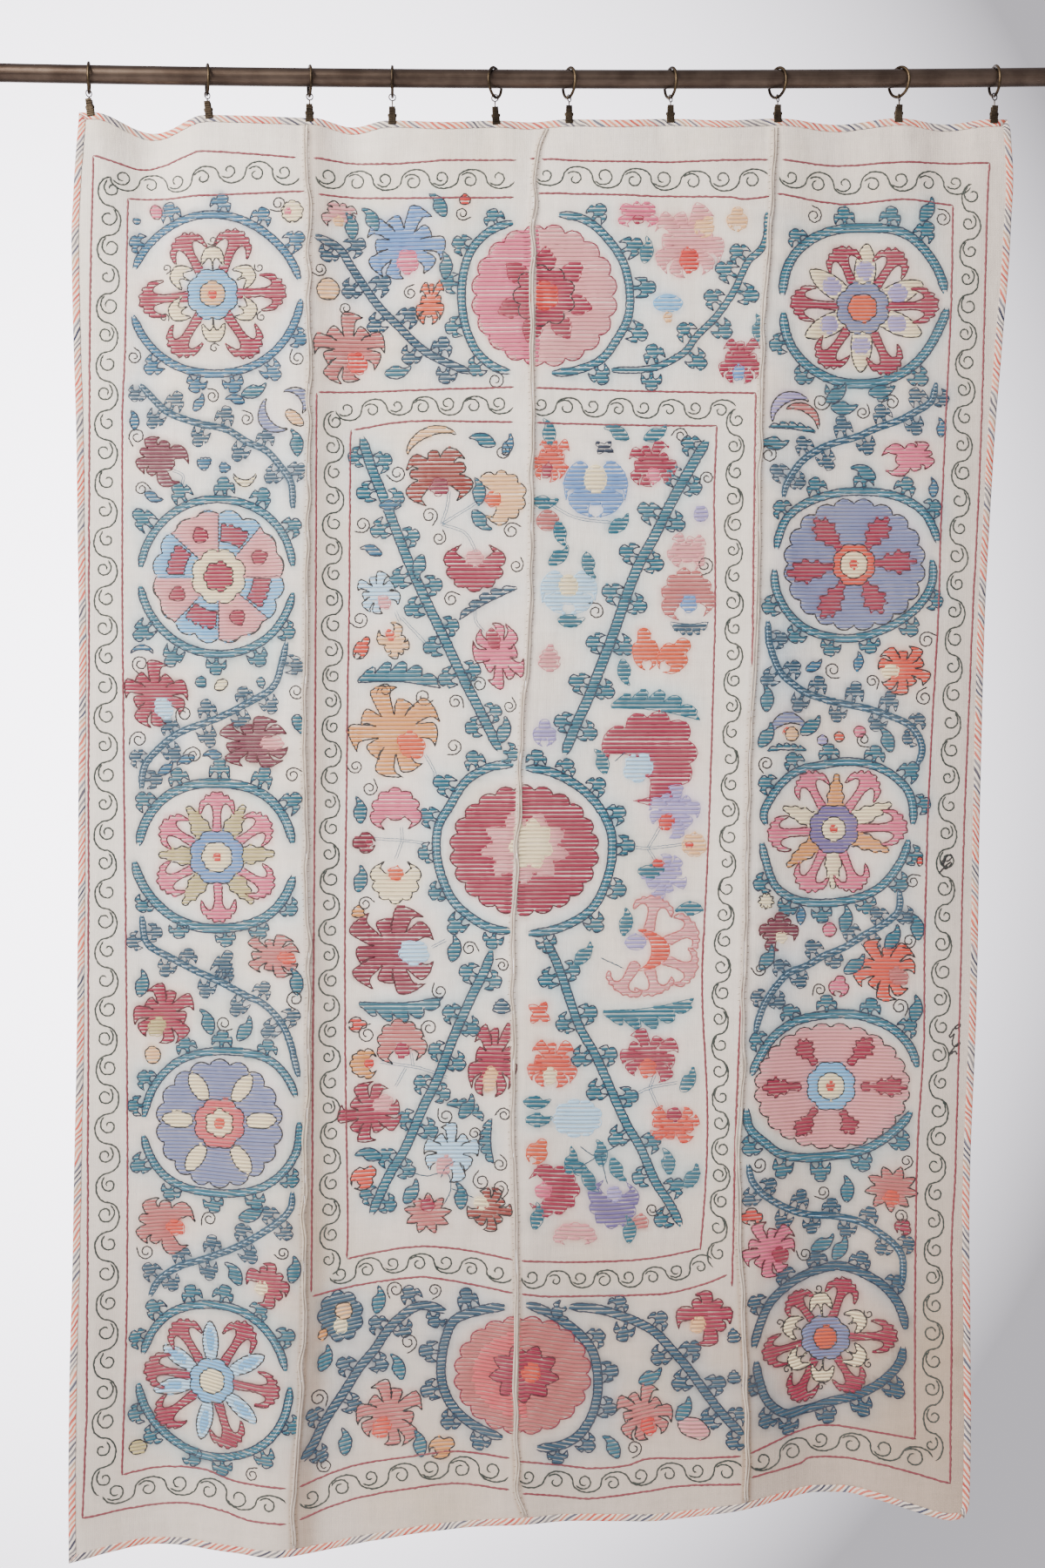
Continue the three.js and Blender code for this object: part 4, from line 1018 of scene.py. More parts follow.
# Each narrow vine: the places it runs through and its loosely worked sprigs.
NARROW_VINES = [
    dict(line=[16, 44.1, 17.6, 45.8, 19.4, 47.4, 22.8, 48.6, 26, 49.3, 28.3, 50.7,
               30.6, 51.8, 32.4, 53.8, 33.5, 55.6, 33.7, 58.5],
         sprigs=[15.6, 45.2, 20.2, 45.8, 17.6, 48.3, 25.9, 47.5, 22.8, 50.4, 27.4, 52.1,
                 30.6, 50.1, 31.2, 54.7, 34.4, 54.1]),
    dict(line=[33, 73.7, 32.4, 76.2, 31.4, 78.9, 28.3, 80.8, 24.9, 82.5, 20.6, 84.1,
               18, 86.1, 16.5, 88.1, 16.2, 90.6],
         sprigs=[34.4, 76.5, 28, 79.7, 31.1, 81.1, 23.7, 81.2, 28, 83.1, 19.4, 83.4,
                 24, 84.9, 15.7, 87, 19.9, 86.6, 17.7, 89.5]),
    dict(line=[16.2, 105.1, 16.8, 108.3, 19.6, 110, 22.5, 111.5, 25.2, 112.7,
               28.3, 114.3, 30.3, 115.2, 32.3, 117.2, 33.4, 119.5, 34, 121.9,
               34.4, 123.5],
         sprigs=[17.7, 107.1, 15.4, 108.1, 21.6, 109.8, 19, 111.3, 26, 111.6,
                 26, 110, 23.6, 113.7, 30.3, 113.5, 27.2, 115.8, 30.9, 118.3,
                 33.7, 116.6]),
    dict(line=[33.7, 136.6, 33.4, 138.7, 31.4, 140.6, 27.7, 142.9, 23.7, 144.5,
               20.6, 145.5, 18.2, 147, 17.1, 149],
         sprigs=[30.9, 139.2, 32.9, 141.3, 27.8, 141.3, 24.3, 142.7, 28.8, 144.2,
                 24, 146.1, 20.6, 143.9, 17.1, 145.9, 19.6, 147.5]),
    dict(line=[107.5, 44, 106.9, 46.1, 105.3, 47.2, 103.2, 48.3, 100.8, 49.1,
               98.5, 50.1, 95.3, 51, 92.9, 52.3, 91.3, 53.9, 90.2, 55.8, 89.9, 57.2],
         sprigs=[105.2, 45.4, 108, 45.7, 101.2, 47.3, 96.7, 48.6, 105.1, 49.1,
                 92.2, 51, 99.6, 51.3, 95.1, 53.1, 89.2, 54.2, 91.6, 55.3]),
    dict(line=[88.1, 71.3, 88.2, 73.7, 88.9, 75.9, 89.7, 77.4, 91.1, 78.6, 92.7, 79.6,
               95.1, 80.4, 97.5, 80.9, 99.9, 81.4, 102.2, 82.2, 104.2, 83.1,
               105.4, 84.4, 105.9, 86.1, 105.3, 87.9],
         sprigs=[89.5, 73.4, 91.1, 76.7, 88.1, 78, 94, 78.5, 98.3, 79.1, 102.2, 80.2,
                 91.7, 80.9, 96.2, 82, 100.7, 83.1, 105.3, 82.9, 104.6, 84.7]),
    dict(line=[103.3, 102.2, 103.2, 104.5, 101.7, 106, 99.4, 107.3, 97, 108.8,
               94.6, 109.8, 92.7, 110.9, 90.6, 111.7, 89, 113.3, 87.7, 115.2,
               86.9, 117.3, 86.7, 118.5],
         sprigs=[100.8, 105, 104.1, 105.2, 97.6, 106.8, 100.3, 108.4, 93.3, 108.8,
                 95.8, 110.2, 89.6, 111, 91.9, 112.6, 87.1, 114.5, 89.3, 114.9]),
    dict(line=[85.8, 133.5, 86.3, 135.5, 87.7, 137.1, 90.1, 138.6, 92.6, 139.5,
               96.1, 139.8, 98.6, 140.3, 100.6, 141.3, 102.6, 142.8, 103.6, 144.3,
               103.7, 146.3, 103.6, 147.6],
         sprigs=[88.3, 136, 86, 137.5, 92, 137.5, 95.6, 138.6, 89.8, 140.3,
                 93.3, 140.9, 97.3, 141.4, 99.9, 139.5, 101.4, 143.3, 104.1, 142.8]),
]
for vine in BROAD_VINES:
    line = soft(vine["line"], closed=False)
    grow(vine["buds"], line, vine["silk"], half_vine=0.45)
    band(line, vine["width"], vine["silk"], pale=None)
for vine in NARROW_VINES:
    line = soft(vine["line"], closed=False)
    grow(vine["sprigs"], line, "slate", half_vine=0.3, size=0.9, width=1.7)
    band(line, 0.66, "slate", "slate", "ice")
print("vines:", len(BROAD_VINES) + len(NARROW_VINES))

# %% [markdown]
# ## The round flowers
# Thirteen great round flowers fill the cloth. Each is one of two kinds. The first is a ring of
# flared arms with palmettes or pointed leaves between them, round a small lobed heart. The
# second is a broad scalloped disc with jagged marks on it. Both are given as layers, from the
# lowest to the highest: discs as size, lobes and silk, and rays as form, silk and width, with
# the direction of each ray and where it starts and ends from the centre.

# %% Work the round flowers
JAG = mirrored([0.35, 0, 0.30, 0.30, 0.75, 0.42, 0.55, 0.52, 1, 0.66, 0.66, 0.72,
                0.72, 0.88, 0.30, 0.86, 0.18, 1])
THORN = mirrored([0.55, 0, 0.95, 0.28, 0.85, 0.60, 0.45, 0.82, 0.12, 1])


def sector(start, stop, inner, outer, lobes_per_degree=1 / 22):
    """A slice of a scalloped disc, of radius 1 about 0."""
    a = np.linspace(start, stop, 24)
    rim = outer - 0.05 + 0.05 * np.abs(np.sin(np.pi * (a - start) * lobes_per_degree))
    out = np.stack([rim * np.cos(np.radians(a)), rim * np.sin(np.radians(a))], -1)
    back = np.stack([inner * np.cos(np.radians(a)), inner * np.sin(np.radians(a))], -1)[::-1]
    return np.vstack([out, back])


def disc(at, silk, rx, ry=None, lobes=8, depth=0.12, edge="charcoal"):
    unit = lobed(lobes, depth)
    motif(np.asarray(at) + unit * [rx, -(ry or rx)], silk, edge)


def rays(at, form, silk, width, places, edge="charcoal", squash=1.0):
    if edge and silk in ("crimson", "pink"):
        edge = "plum"
    for angle, start, stop in places:
        a = math.radians(angle)
        foot = [at[0] + start * math.cos(a), at[1] - start * math.sin(a) * squash]
        motif(placed(form, foot, stop - start, width, angle), silk, edge)


def from_middle(angles, length, start=1.2):
    return [(angle, start, length) for angle in angles]


def heart(at, silk, size, dot=None):
    """A small round heart, with a dot in its middle where it has one."""
    disc(at, silk, size, lobes=6, depth=0.06)
    if dot:
        disc(at, "scarlet", dot, lobes=4, depth=0.02, edge=None)


def tendrils(at, angles, far, size):
    """A curl beside each of a flower's palmettes."""
    for angle in angles:
        a = math.radians(angle)
        foot = (at[0] + far * math.cos(a), at[1] - far * math.sin(a))
        curl(foot, size, angle + 150, 1.1, stem=0.4)


# The left column, from the top.
at = (24.4, 33.8)
rays(at, ARM, "crimson", 2.05, [(119, 1.2, 7.9), (67, 1.2, 8.0), (2, 1.2, 8.5), (184, 1.2, 8.6),
                               (238, 1.2, 8.2), (-55, 1.2, 8.6)])
PALMETTES = (90, 30, -25, -88, 205, 150)
rays(at, CAP, "cream", 1.3, from_middle(PALMETTES, 5.5, 2.4))
tendrils(at, PALMETTES, 6.2, 0.55)
disc(at, "sky", 3.0)
heart(at, "peach", 1.5, 0.5)

at = (25.1, 66.2)
disc(at, "sky", 7.7, lobes=16, depth=0.09)
for start, stop in ((0, 50), (90, 138), (180, 226), (270, 320)):
    motif(np.array(at) + sector(start, stop, 0.3, 1.0) * [7.6, -7.6], "blush", "charcoal")
for start, stop in ((53, 87), (141, 177), (229, 267), (323, 357)):
    motif(np.array(at) + sector(start, stop, 0.52, 0.80, 1 / 9) * [7.7, -7.7], "crimson",
        "charcoal")
rays(at, THORN, "crimson", 0.9, [(a, 4.4, 6.2) for a in (25, 114, 203, 295)])
disc(at, "cream", 3.2, lobes=8)
disc(at, "crimson", 1.8, lobes=7, depth=0.2)

at = (24.9, 98.4)
rays(at, OAK, "olive", 1.25, from_middle([120, 62, 4, -52, 235, 178], 6.9))
rays(at, ARM, "pink", 1.95, from_middle([90, 149, 35, -30, -88, 206], 7.5))
disc(at, "cornflower", 3.2)
disc(at, "cream", 1.8, lobes=7, depth=0.12)
disc(at, "scarlet", 0.45, lobes=4, depth=0.02, edge=None)

at = (25.2, 129.0)
disc(at, "mist", 7.4, lobes=18, depth=0.09)
rays(at, POD, "cream", 0.95, [(a, 3.2, 6.7) for a in (120, 57, 5, -58, -125, 175)])
disc(at, "shell", 3.0)
disc(at, "cream", 1.7, lobes=6, depth=0.2)
disc(at, "coral", 0.6, lobes=4, depth=0.02, edge=None)

at = (24.3, 158.6)
for angle in (92, 27, -41, -101, 190, 146):
    rays(at, POD, "ice", 0.9, [(angle, 2.4, 6.9)])
    rays(at, POD, "sky", 0.42, [(angle, 3.6, 6.2)], edge=None)
rays(at, ARM, "crimson", 1.95, from_middle([122, 57, -7, -73, 218, 170], 8.0))
disc(at, "sky", 2.7)
heart(at, "cream", 1.5)

# The top band and the centre.
at = (62.5, 34.0)
disc(at, "blush", 8.4, 8.2, lobes=20, depth=0.08, edge="rose")
fill(np.array(at) + sector(95, 265, 0.3, 0.98) * [8.4, -8.2], "pink")
rays(at, THORN, "crimson", 1.2, [(a, 3.0, 5.6) for a in (40, 88, 140, 200, 250, 300, 345)],
     edge=None)
disc(at, "crimson", 3.6, lobes=9, depth=0.2)
disc(at, "scarlet", 1.7, lobes=6, depth=0.1, edge=None)

at = (60.2, 97.6)
disc(at, "crimson", 8.6, 7.5, lobes=22, depth=0.08, edge="plum")
motif(np.array((60.3, 97.3)) + spiky(9, 0.3) * [5.2, -4.2], "blush", None)
motif(np.array((61.0, 96.9)) + spiky(7, 0.25) * [2.6, -3.0], "cream", None)

at = (60.0, 157.7)
disc(at, "salmon", 7.9, 6.8, lobes=20, depth=0.08, edge="rose")
fill(np.array(at) + sector(90, 275, 0.05, 0.74) * [8.0, -6.8], "shell", 1.2)
motif(np.array((60.2, 157.5)) + spiky(9, 0.3) * [4.1, -3.4], "crimson", "plum")
disc((61.0, 157.4), "coral", 1.1, lobes=5, depth=0.1, edge=None)

# The right column, from the top.
at = (99.1, 35.3)
for angle in (86, 145, 207, -92, -25, 22):
    rays(at, POD, "cream", 1.2, [(angle, 1.5, 7.4)])
    rays(at, POD, "lilac", 1.0, [(angle, 3.4, 5.4)], edge=None)
rays(at, ARM, "crimson", 1.95, [(112, 1.2, 7.6), (57, 1.2, 7.8), (176, 1.2, 8.4), (2, 1.2, 8.7),
                               (235, 1.2, 8.2), (-66, 1.2, 8.3)])
disc(at, "mist", 3.1)
disc(at, "tangerine", 1.7, lobes=7, depth=0.08)

at = (98.1, 64.8)
disc(at, "mist", 8.2, 7.6, lobes=20, depth=0.08)
rays(at, JAG, "crimson", 1.5, [(131, 1.5, 6.9), (54, 1.5, 6.6), (188, 1.5, 7.8), (3, 1.5, 7.1),
                               (239, 1.5, 7.2), (-60, 1.5, 6.4)])
disc(at, "coral", 2.5, lobes=8)
heart(at, "cream", 1.6, 0.5)

at = (95.8, 95.2)
rays(at, OAK, "tan", 1.1, [(87, 1.2, 6.5), (-22, 1.2, 6.9), (218, 1.2, 7.1)])
rays(at, OAK, "cream", 1.1, [(24, 1.2, 7.4), (157, 1.2, 6.6), (-91, 1.2, 7.0)])
rays(at, ARM, "pink", 1.95, [(118, 1.2, 7.3), (55, 1.2, 7.8), (2, 1.2, 8.4), (185, 1.2, 7.8),
                            (244, 1.2, 7.9), (-69, 1.2, 7.6)])
disc(at, "purple", 2.9)
heart(at, "cream", 1.4, 0.45)

at = (95.5, 124.8)
disc(at, "blush", 9.0, 7.25, lobes=24, depth=0.07)
rays(at, JAG, "crimson", 1.25, [(125, 3.2, 6.5), (50, 3.4, 7.2), (0, 3.6, 8.6), (180, 3.6, 8.0),
                                (235, 3.2, 6.9), (-65, 3.2, 6.0)])
disc(at, "sky", 2.9)
heart(at, "cream", 1.6, 0.5)

at = (94.9, 153.8)
rays(at, ARM, "crimson", 1.8, [(127, 1.0, 6.6), (70, 1.0, 7.3), (3, 1.0, 8.2), (193, 1.0, 7.6),
                               (244, 1.0, 8.1), (-59, 1.0, 7.1)])
PALMETTES = (98, 30, -31, -95, 218, 160)
rays(at, CAP, "cream", 1.3, from_middle(PALMETTES, 5.2, 2.2))
tendrils(at, PALMETTES, 5.7, 0.5)
disc(at, "mist", 2.9, 2.6)
disc(at, "tangerine", 1.4, lobes=7, depth=0.08)
print("rows laid so far:", sum(len(r) for r in rows_worked.values()))

# %% [markdown]
# ## Flowers, leaves and tendrils between them
# Small flowers, leaves and curls fill what is left, each one a little different, as they were
# drawn by hand. A row of a table gives the form, its silk and the silk of its heart, where its
# middle is, its width and height before it is turned, and which way it points. In the right
# half the flowers were worked without outlines, so their edges are ragged.

# %% Flowers of the side columns
PEONY = [(-116, 1.1, -16), (-74, 0.96, 0), (-37, 0.96, 0), (0, 1.0, 0), (37, 0.96, 0),
         (74, 0.96, 0), (116, 1.1, 16)]
POPPY = [(-122, 1.15, -12), (-80, 0.86, 0), (-44, 1.04, -10), (-6, 0.88, 0), (32, 1.04, 9),
         (74, 0.88, 0), (118, 1.12, 13)]
FLAME = [(-142, 0.9, -8), (-106, 1.05, -10), (-72, 0.8, -6), (-40, 1.1, -10), (-8, 0.86, -5),
         (26, 1.12, 9), (60, 0.8, 6), (94, 1.08, 10), (130, 0.92, 8)]
THISTLE = [(-128, 0.9, -7), (-92, 1.0, -7), (-60, 0.8, -5), (-26, 1.05, -7), (10, 0.8, 5),
           (44, 1.05, 7), (84, 0.86, 7), (124, 1.0, 7)]
WINGS = [(-125, 0.95, -14), (-50, 1.05, -16), (50, 1.05, 16), (125, 0.95, 14)]
TUFT = [(-100, 1.0, -20), (0, 1.0, 0), (100, 1.0, 20)]
FORMS = {
    "peony": plume(PEONY), "poppy": plume(POPPY, 0.7), "flame": plume(FLAME, 0.54),
    "thistle": plume(THISTLE, 0.52), "wings": plume(WINGS, 0.5), "tuft": plume(TUFT, 0.66),
    "star": spiky(9), "cross": spiky(4, 0.6), "disc": lobed(9, 0.16), "bean": POD, "drop": THORN,
    "leaf": LEAF, "oak": OAK, "comb": comb(5), "comb_back": comb(5, -1),
    "moon": crescent(),
}
SAME_EDGE = {"crimson": "plum", "rose": "plum", "dull_rose": "plum", "pink": "plum",
             "teal": "navy", "slate": "navy", "steel": "navy"}


def flower(form, silk, heart, x, y, width, height, turn, edge=True):
    """One flower with a heart of another silk, or one leaf where there is no heart."""
    unit = FORMS[form]
    edge = SAME_EDGE.get(silk, "charcoal") if edge else None
    motif(centred(unit, (x, y), width, height, turn), silk, edge)
    if heart:
        a, back = math.radians(turn), 0.2 * height
        at = (x - back * math.cos(a), y + back * math.sin(a))
        motif(centred(lobed(5, 0.2), at, width * 0.3, height * 0.34, turn), heart, None)


def sow(leaves, silk="teal", edge=True, size=(1.7, 3.2)):
    """Single leaves, each as the place of its middle and the way it points."""
    for x, y, turn in leaves:
        flower("leaf", silk, None, x, y, *size, turn, edge)


# form, silk, heart, x, y, width, height, turn
for row in (
    ("bean", "pink", None, 17.1, 24.2, 1.8, 2.6, 20),
    ("drop", "steel", None, 15.6, 24.8, 0.9, 1.5, 250),
    ("disc", "cream", "pink", 33.6, 24.4, 2.6, 2.6, 0),
    ("poppy", "dull_rose", None, 18.5, 52.8, 5.0, 6.2, 150),
    ("moon", "mist", None, 34.2, 45.9, 3.6, 2.6, 40),
    ("moon", "mist", None, 31.2, 48.0, 4.6, 3.0, 215),
    ("bean", "peach", None, 33.0, 47.3, 1.3, 5.0, -42),
    ("moon", "cream", None, 28.1, 54.9, 2.8, 1.9, -90),
    ("oak", "steel", None, 22.8, 53.6, 1.6, 3.4, 35),
    ("oak", "steel", None, 25.2, 53.7, 1.3, 2.6, 0),
    ("flame", "crimson", "ice", 18.0, 80.0, 6.6, 7.8, 120),
    ("flame", "dull_rose", "blush", 29.6, 85.3, 5.6, 8.4, 180),
    ("bean", "cream", None, 26.0, 78.2, 1.2, 3.2, 215),
    ("drop", "teal", None, 22.7, 77.9, 1.3, 2.6, -50),
    ("drop", "teal", None, 29.8, 77.9, 1.0, 2.4, -70),
    ("drop", "teal", None, 34.0, 82.2, 1.3, 4.4, -70),
    ("moon", "steel", None, 16.3, 74.7, 2.8, 1.3, 90),
    ("flame", "salmon", "coral", 31.7, 109.7, 4.6, 6.6, 170),
    ("flame", "crimson", "olive", 18.7, 116.7, 6.4, 7.2, 60),
    ("bean", "peach", None, 16.7, 121.3, 2.0, 3.4, 10),
    ("poppy", "salmon", "coral", 18.8, 140.6, 6.0, 6.8, 160),
    ("poppy", "crimson", "cream", 30.9, 147.3, 5.0, 4.6, 30),
    ("bean", "olive", None, 15.9, 167.0, 2.0, 3.2, 100),
    ("poppy", "blush", "peach", 39.1, 24.7, 3.9, 3.4, 70),
    # The right column.
    ("moon", "lilac", None, 90.4, 46.6, 5.2, 3.0, 120),
    ("moon", "salmon", None, 92.4, 47.6, 4.6, 2.4, 60),
    ("comb", "teal", None, 90.9, 49.2, 1.2, 5.6, 175),
    ("poppy", "pink", None, 104.4, 52.6, 3.7, 6.1, 10),
    ("flame", "coral", "cream", 103.5, 76.9, 5.3, 6.2, 10),
    ("moon", "mist", "coral", 90.4, 83.4, 4.8, 3.2, 100),
    ("bean", "peach", None, 90.2, 84.3, 1.6, 3.0, 0),
    ("comb", "teal", None, 90.3, 86.0, 1.1, 4.6, 180),
    ("bean", "lilac", None, 93.9, 85.0, 1.2, 2.4, 0),
    ("bean", "coral", None, 95.9, 84.7, 1.2, 2.2, 10),
    ("bean", "pink", None, 98.2, 84.2, 1.3, 2.6, 20),
    ("poppy", "dull_rose", "cream", 89.3, 106.9, 4.4, 4.0, 120),
    ("star", "cream", None, 87.9, 103.4, 2.0, 2.0, 90),
    ("bean", "pink", None, 94.6, 106.9, 1.6, 3.0, 10),
    ("bean", "scarlet", None, 105.6, 99.4, 0.7, 2.2, 90),
    ("flame", "coral", "salmon", 101.9, 111.4, 6.6, 7.4, 150),
    ("tuft", "pink", None, 96.4, 113.3, 2.3, 2.5, 80),
    ("star", "salmon", "coral", 102.4, 136.5, 6.2, 5.4, 90),
    ("tuft", "crimson", None, 103.7, 140.9, 2.0, 1.8, 60),
    ("tuft", "scarlet", None, 86.2, 139.5, 2.6, 1.9, 90),
    ("flame", "pink", "crimson", 88.5, 143.4, 6.0, 6.4, 150),
):
    flower(*row)
sow([(29.2, 44.8, 20), (34.0, 50.9, 100), (16.2, 112.9, 80), (23.7, 117.3, 110), (28.1, 118.1, 60),
        (34.0, 112.6, 100), (33.8, 145.5, 80), (28.9, 139.3, 20), (26.8, 146.2, 120),
        (106.5, 24.0, 60), (96.1, 45.1, 40), (101.3, 44.8, 10), (97.0, 46.7, 0), (89.0, 50.9, 0),
        (99.2, 54.2, 150), (87.9, 80.2, 90), (87.9, 84.4, 60), (93.1, 83.3, 40),
        (101.8, 84.9, 110), (97.1, 105.5, 80), (102.5, 107.6, 60), (105.2, 106.4, 100),
        (88.0, 109.9, 60), (98.2, 110.7, 40), (105.1, 115.8, 80), (97.3, 136.6, 90),
        (94.6, 142.9, 30), (96.6, 143.4, 60)])
sow([(22.8, 46.2, 60), (27.0, 45.9, 165), (15.3, 48.2, 95), (17.6, 57.0, -25), (21.3, 87.3, 200),
     (24.4, 86.7, 175), (19.0, 88.2, 40), (108.0, 49.1, 90), (107.1, 56.0, 90), (91.9, 105.0, 90),
     (93.5, 76.4, 30), (98.6, 75.9, 80)], "steel", size=(1.2, 2.3))
print("flowers in the columns done")

# %% Flowers of the field and the bands
for row in (
    ("flame", "cornflower", "pink", 46.5, 28.3, 8.6, 8.6, 100),
    ("flame", "tangerine", None, 49.4, 35.0, 3.0, 5.6, 80),
    ("bean", "peach", None, 37.6, 34.4, 2.6, 4.9, 85),
    ("flame", "salmon", "scarlet", 40.2, 40.3, 7.6, 8.0, 120),
    ("drop", "scarlet", None, 53.4, 23.5, 1.3, 2.4, 90),
    ("moon", "peach", None, 49.3, 50.4, 6.4, 2.6, 112),
    ("poppy", "brick", "rose", 50.3, 54.6, 7.6, 6.6, 96),
    ("peony", "peach", "tangerine", 57.7, 57.0, 6.2, 5.6, 18),
    ("peony", "crimson", "blush", 54.5, 65.2, 7.0, 5.6, -90),
    ("comb", "slate", None, 55.9, 69.1, 1.7, 7.6, 208),
    ("thistle", "ice", "blush", 43.5, 68.2, 4.6, 5.4, 125),
    ("poppy", "peach", "coral", 45.2, 73.6, 3.2, 4.2, -60),
    ("tuft", "coral", None, 41.5, 74.4, 1.6, 3.0, 60),
    ("comb_back", "teal", None, 45.9, 78.0, 3.4, 9.6, -4),
    ("flame", "pink", "crimson", 57.2, 74.9, 5.2, 8.0, -70),
    ("flame", "tan", "tangerine", 45.6, 84.2, 9.6, 10.6, 140),
    ("peony", "pink", None, 45.4, 92.9, 5.9, 5.0, 92),
    ("tuft", "rose", "crimson", 41.8, 96.8, 2.4, 2.7, 180),
    ("peony", "cream", "tangerine", 45.4, 101.3, 5.8, 5.0, -90),
    ("flame", "rose", "ice", 45.4, 109.2, 9.6, 10.6, 175),
    ("oak", "tan", None, 41.1, 105.4, 1.6, 3.0, 90),
    ("comb", "teal", None, 46.1, 115.4, 3.2, 9.8, 4),
    ("tuft", "scarlet", None, 41.0, 117.7, 1.8, 2.2, 0),
    ("peony", "salmon", "crimson", 46.0, 119.6, 5.8, 5.2, 100),
    ("peony", "tan", "scarlet", 41.7, 122.2, 3.4, 3.2, 180),
    ("flame", "crimson", "blush", 42.7, 127.6, 6.2, 7.4, 215),
    ("flame", "crimson", "peach", 56.6, 122.0, 5.2, 9.4, 80),
    ("oak", "slate", None, 57.6, 116.3, 2.2, 3.4, 90),
    ("thistle", "ice", "blush", 51.7, 132.5, 6.2, 7.0, 62),
    ("tuft", "coral", None, 41.7, 135.3, 2.6, 3.4, 40),
    ("star", "salmon", "crimson", 49.1, 139.3, 5.6, 4.8, -90),
    ("thistle", "brick", "cream", 56.1, 138.7, 5.0, 5.2, -35),
    ("comb_back", "teal", None, 53.6, 127.4, 2.0, 4.6, -25),
    ("comb", "teal", None, 56.2, 131.0, 2.0, 5.2, -88),
    ("disc", "slate", "cream", 39.1, 151.1, 5.2, 6.0, 90),
    ("bean", "peach", None, 38.9, 151.2, 2.0, 3.8, 50),
    ("bean", "tan", None, 36.8, 153.7, 1.0, 2.6, 60),
    ("flame", "salmon", "coral", 44.6, 162.6, 7.0, 7.9, 60),
    ("tuft", "tan", None, 50.7, 166.1, 2.6, 3.2, 30),
    ("poppy", "crimson", "peach", 81.0, 151.2, 5.6, 6.2, 45),
    ("flame", "salmon", "scarlet", 74.0, 162.5, 6.0, 6.7, 110),
    ("bean", "blush", None, 79.3, 164.9, 3.8, 4.5, 70),
    ("oak", "slate", None, 84.3, 153.9, 1.6, 3.2, 100),
    ("oak", "slate", None, 84.2, 158.6, 1.6, 3.2, 90),
):
    flower(*row)
sow([(42.5, 25.0, 120), (45.7, 42.6, 10), (50.3, 23.6, 120), (51.1, 30.5, 90), (40.2, 25.8, 100),
        (55.4, 50.6, 160), (54.9, 56.4, 95), (55.3, 59.8, -50), (48.2, 65.2, -100),
        (57.8, 83.8, 75), (41.2, 93.0, 95), (41.3, 100.9, 80), (52.1, 108.9, 80),
        (42.3, 132.7, 170), (47.2, 136.8, 60), (52.8, 137.3, 95), (53.6, 127.0, 60),
        (37.3, 155.9, 70), (45.6, 156.9, 110), (43.4, 149.3, 80), (39.5, 165.6, 90),
        (48.1, 165.7, 100), (70.2, 166.1, 120), (78.5, 161.7, 60), (74.7, 158.0, 30)])
sow([(44.8, 57.8, 10), (42.6, 63.2, 160), (58.3, 51.1, 70)],
    "steel", size=(1.3, 2.7))

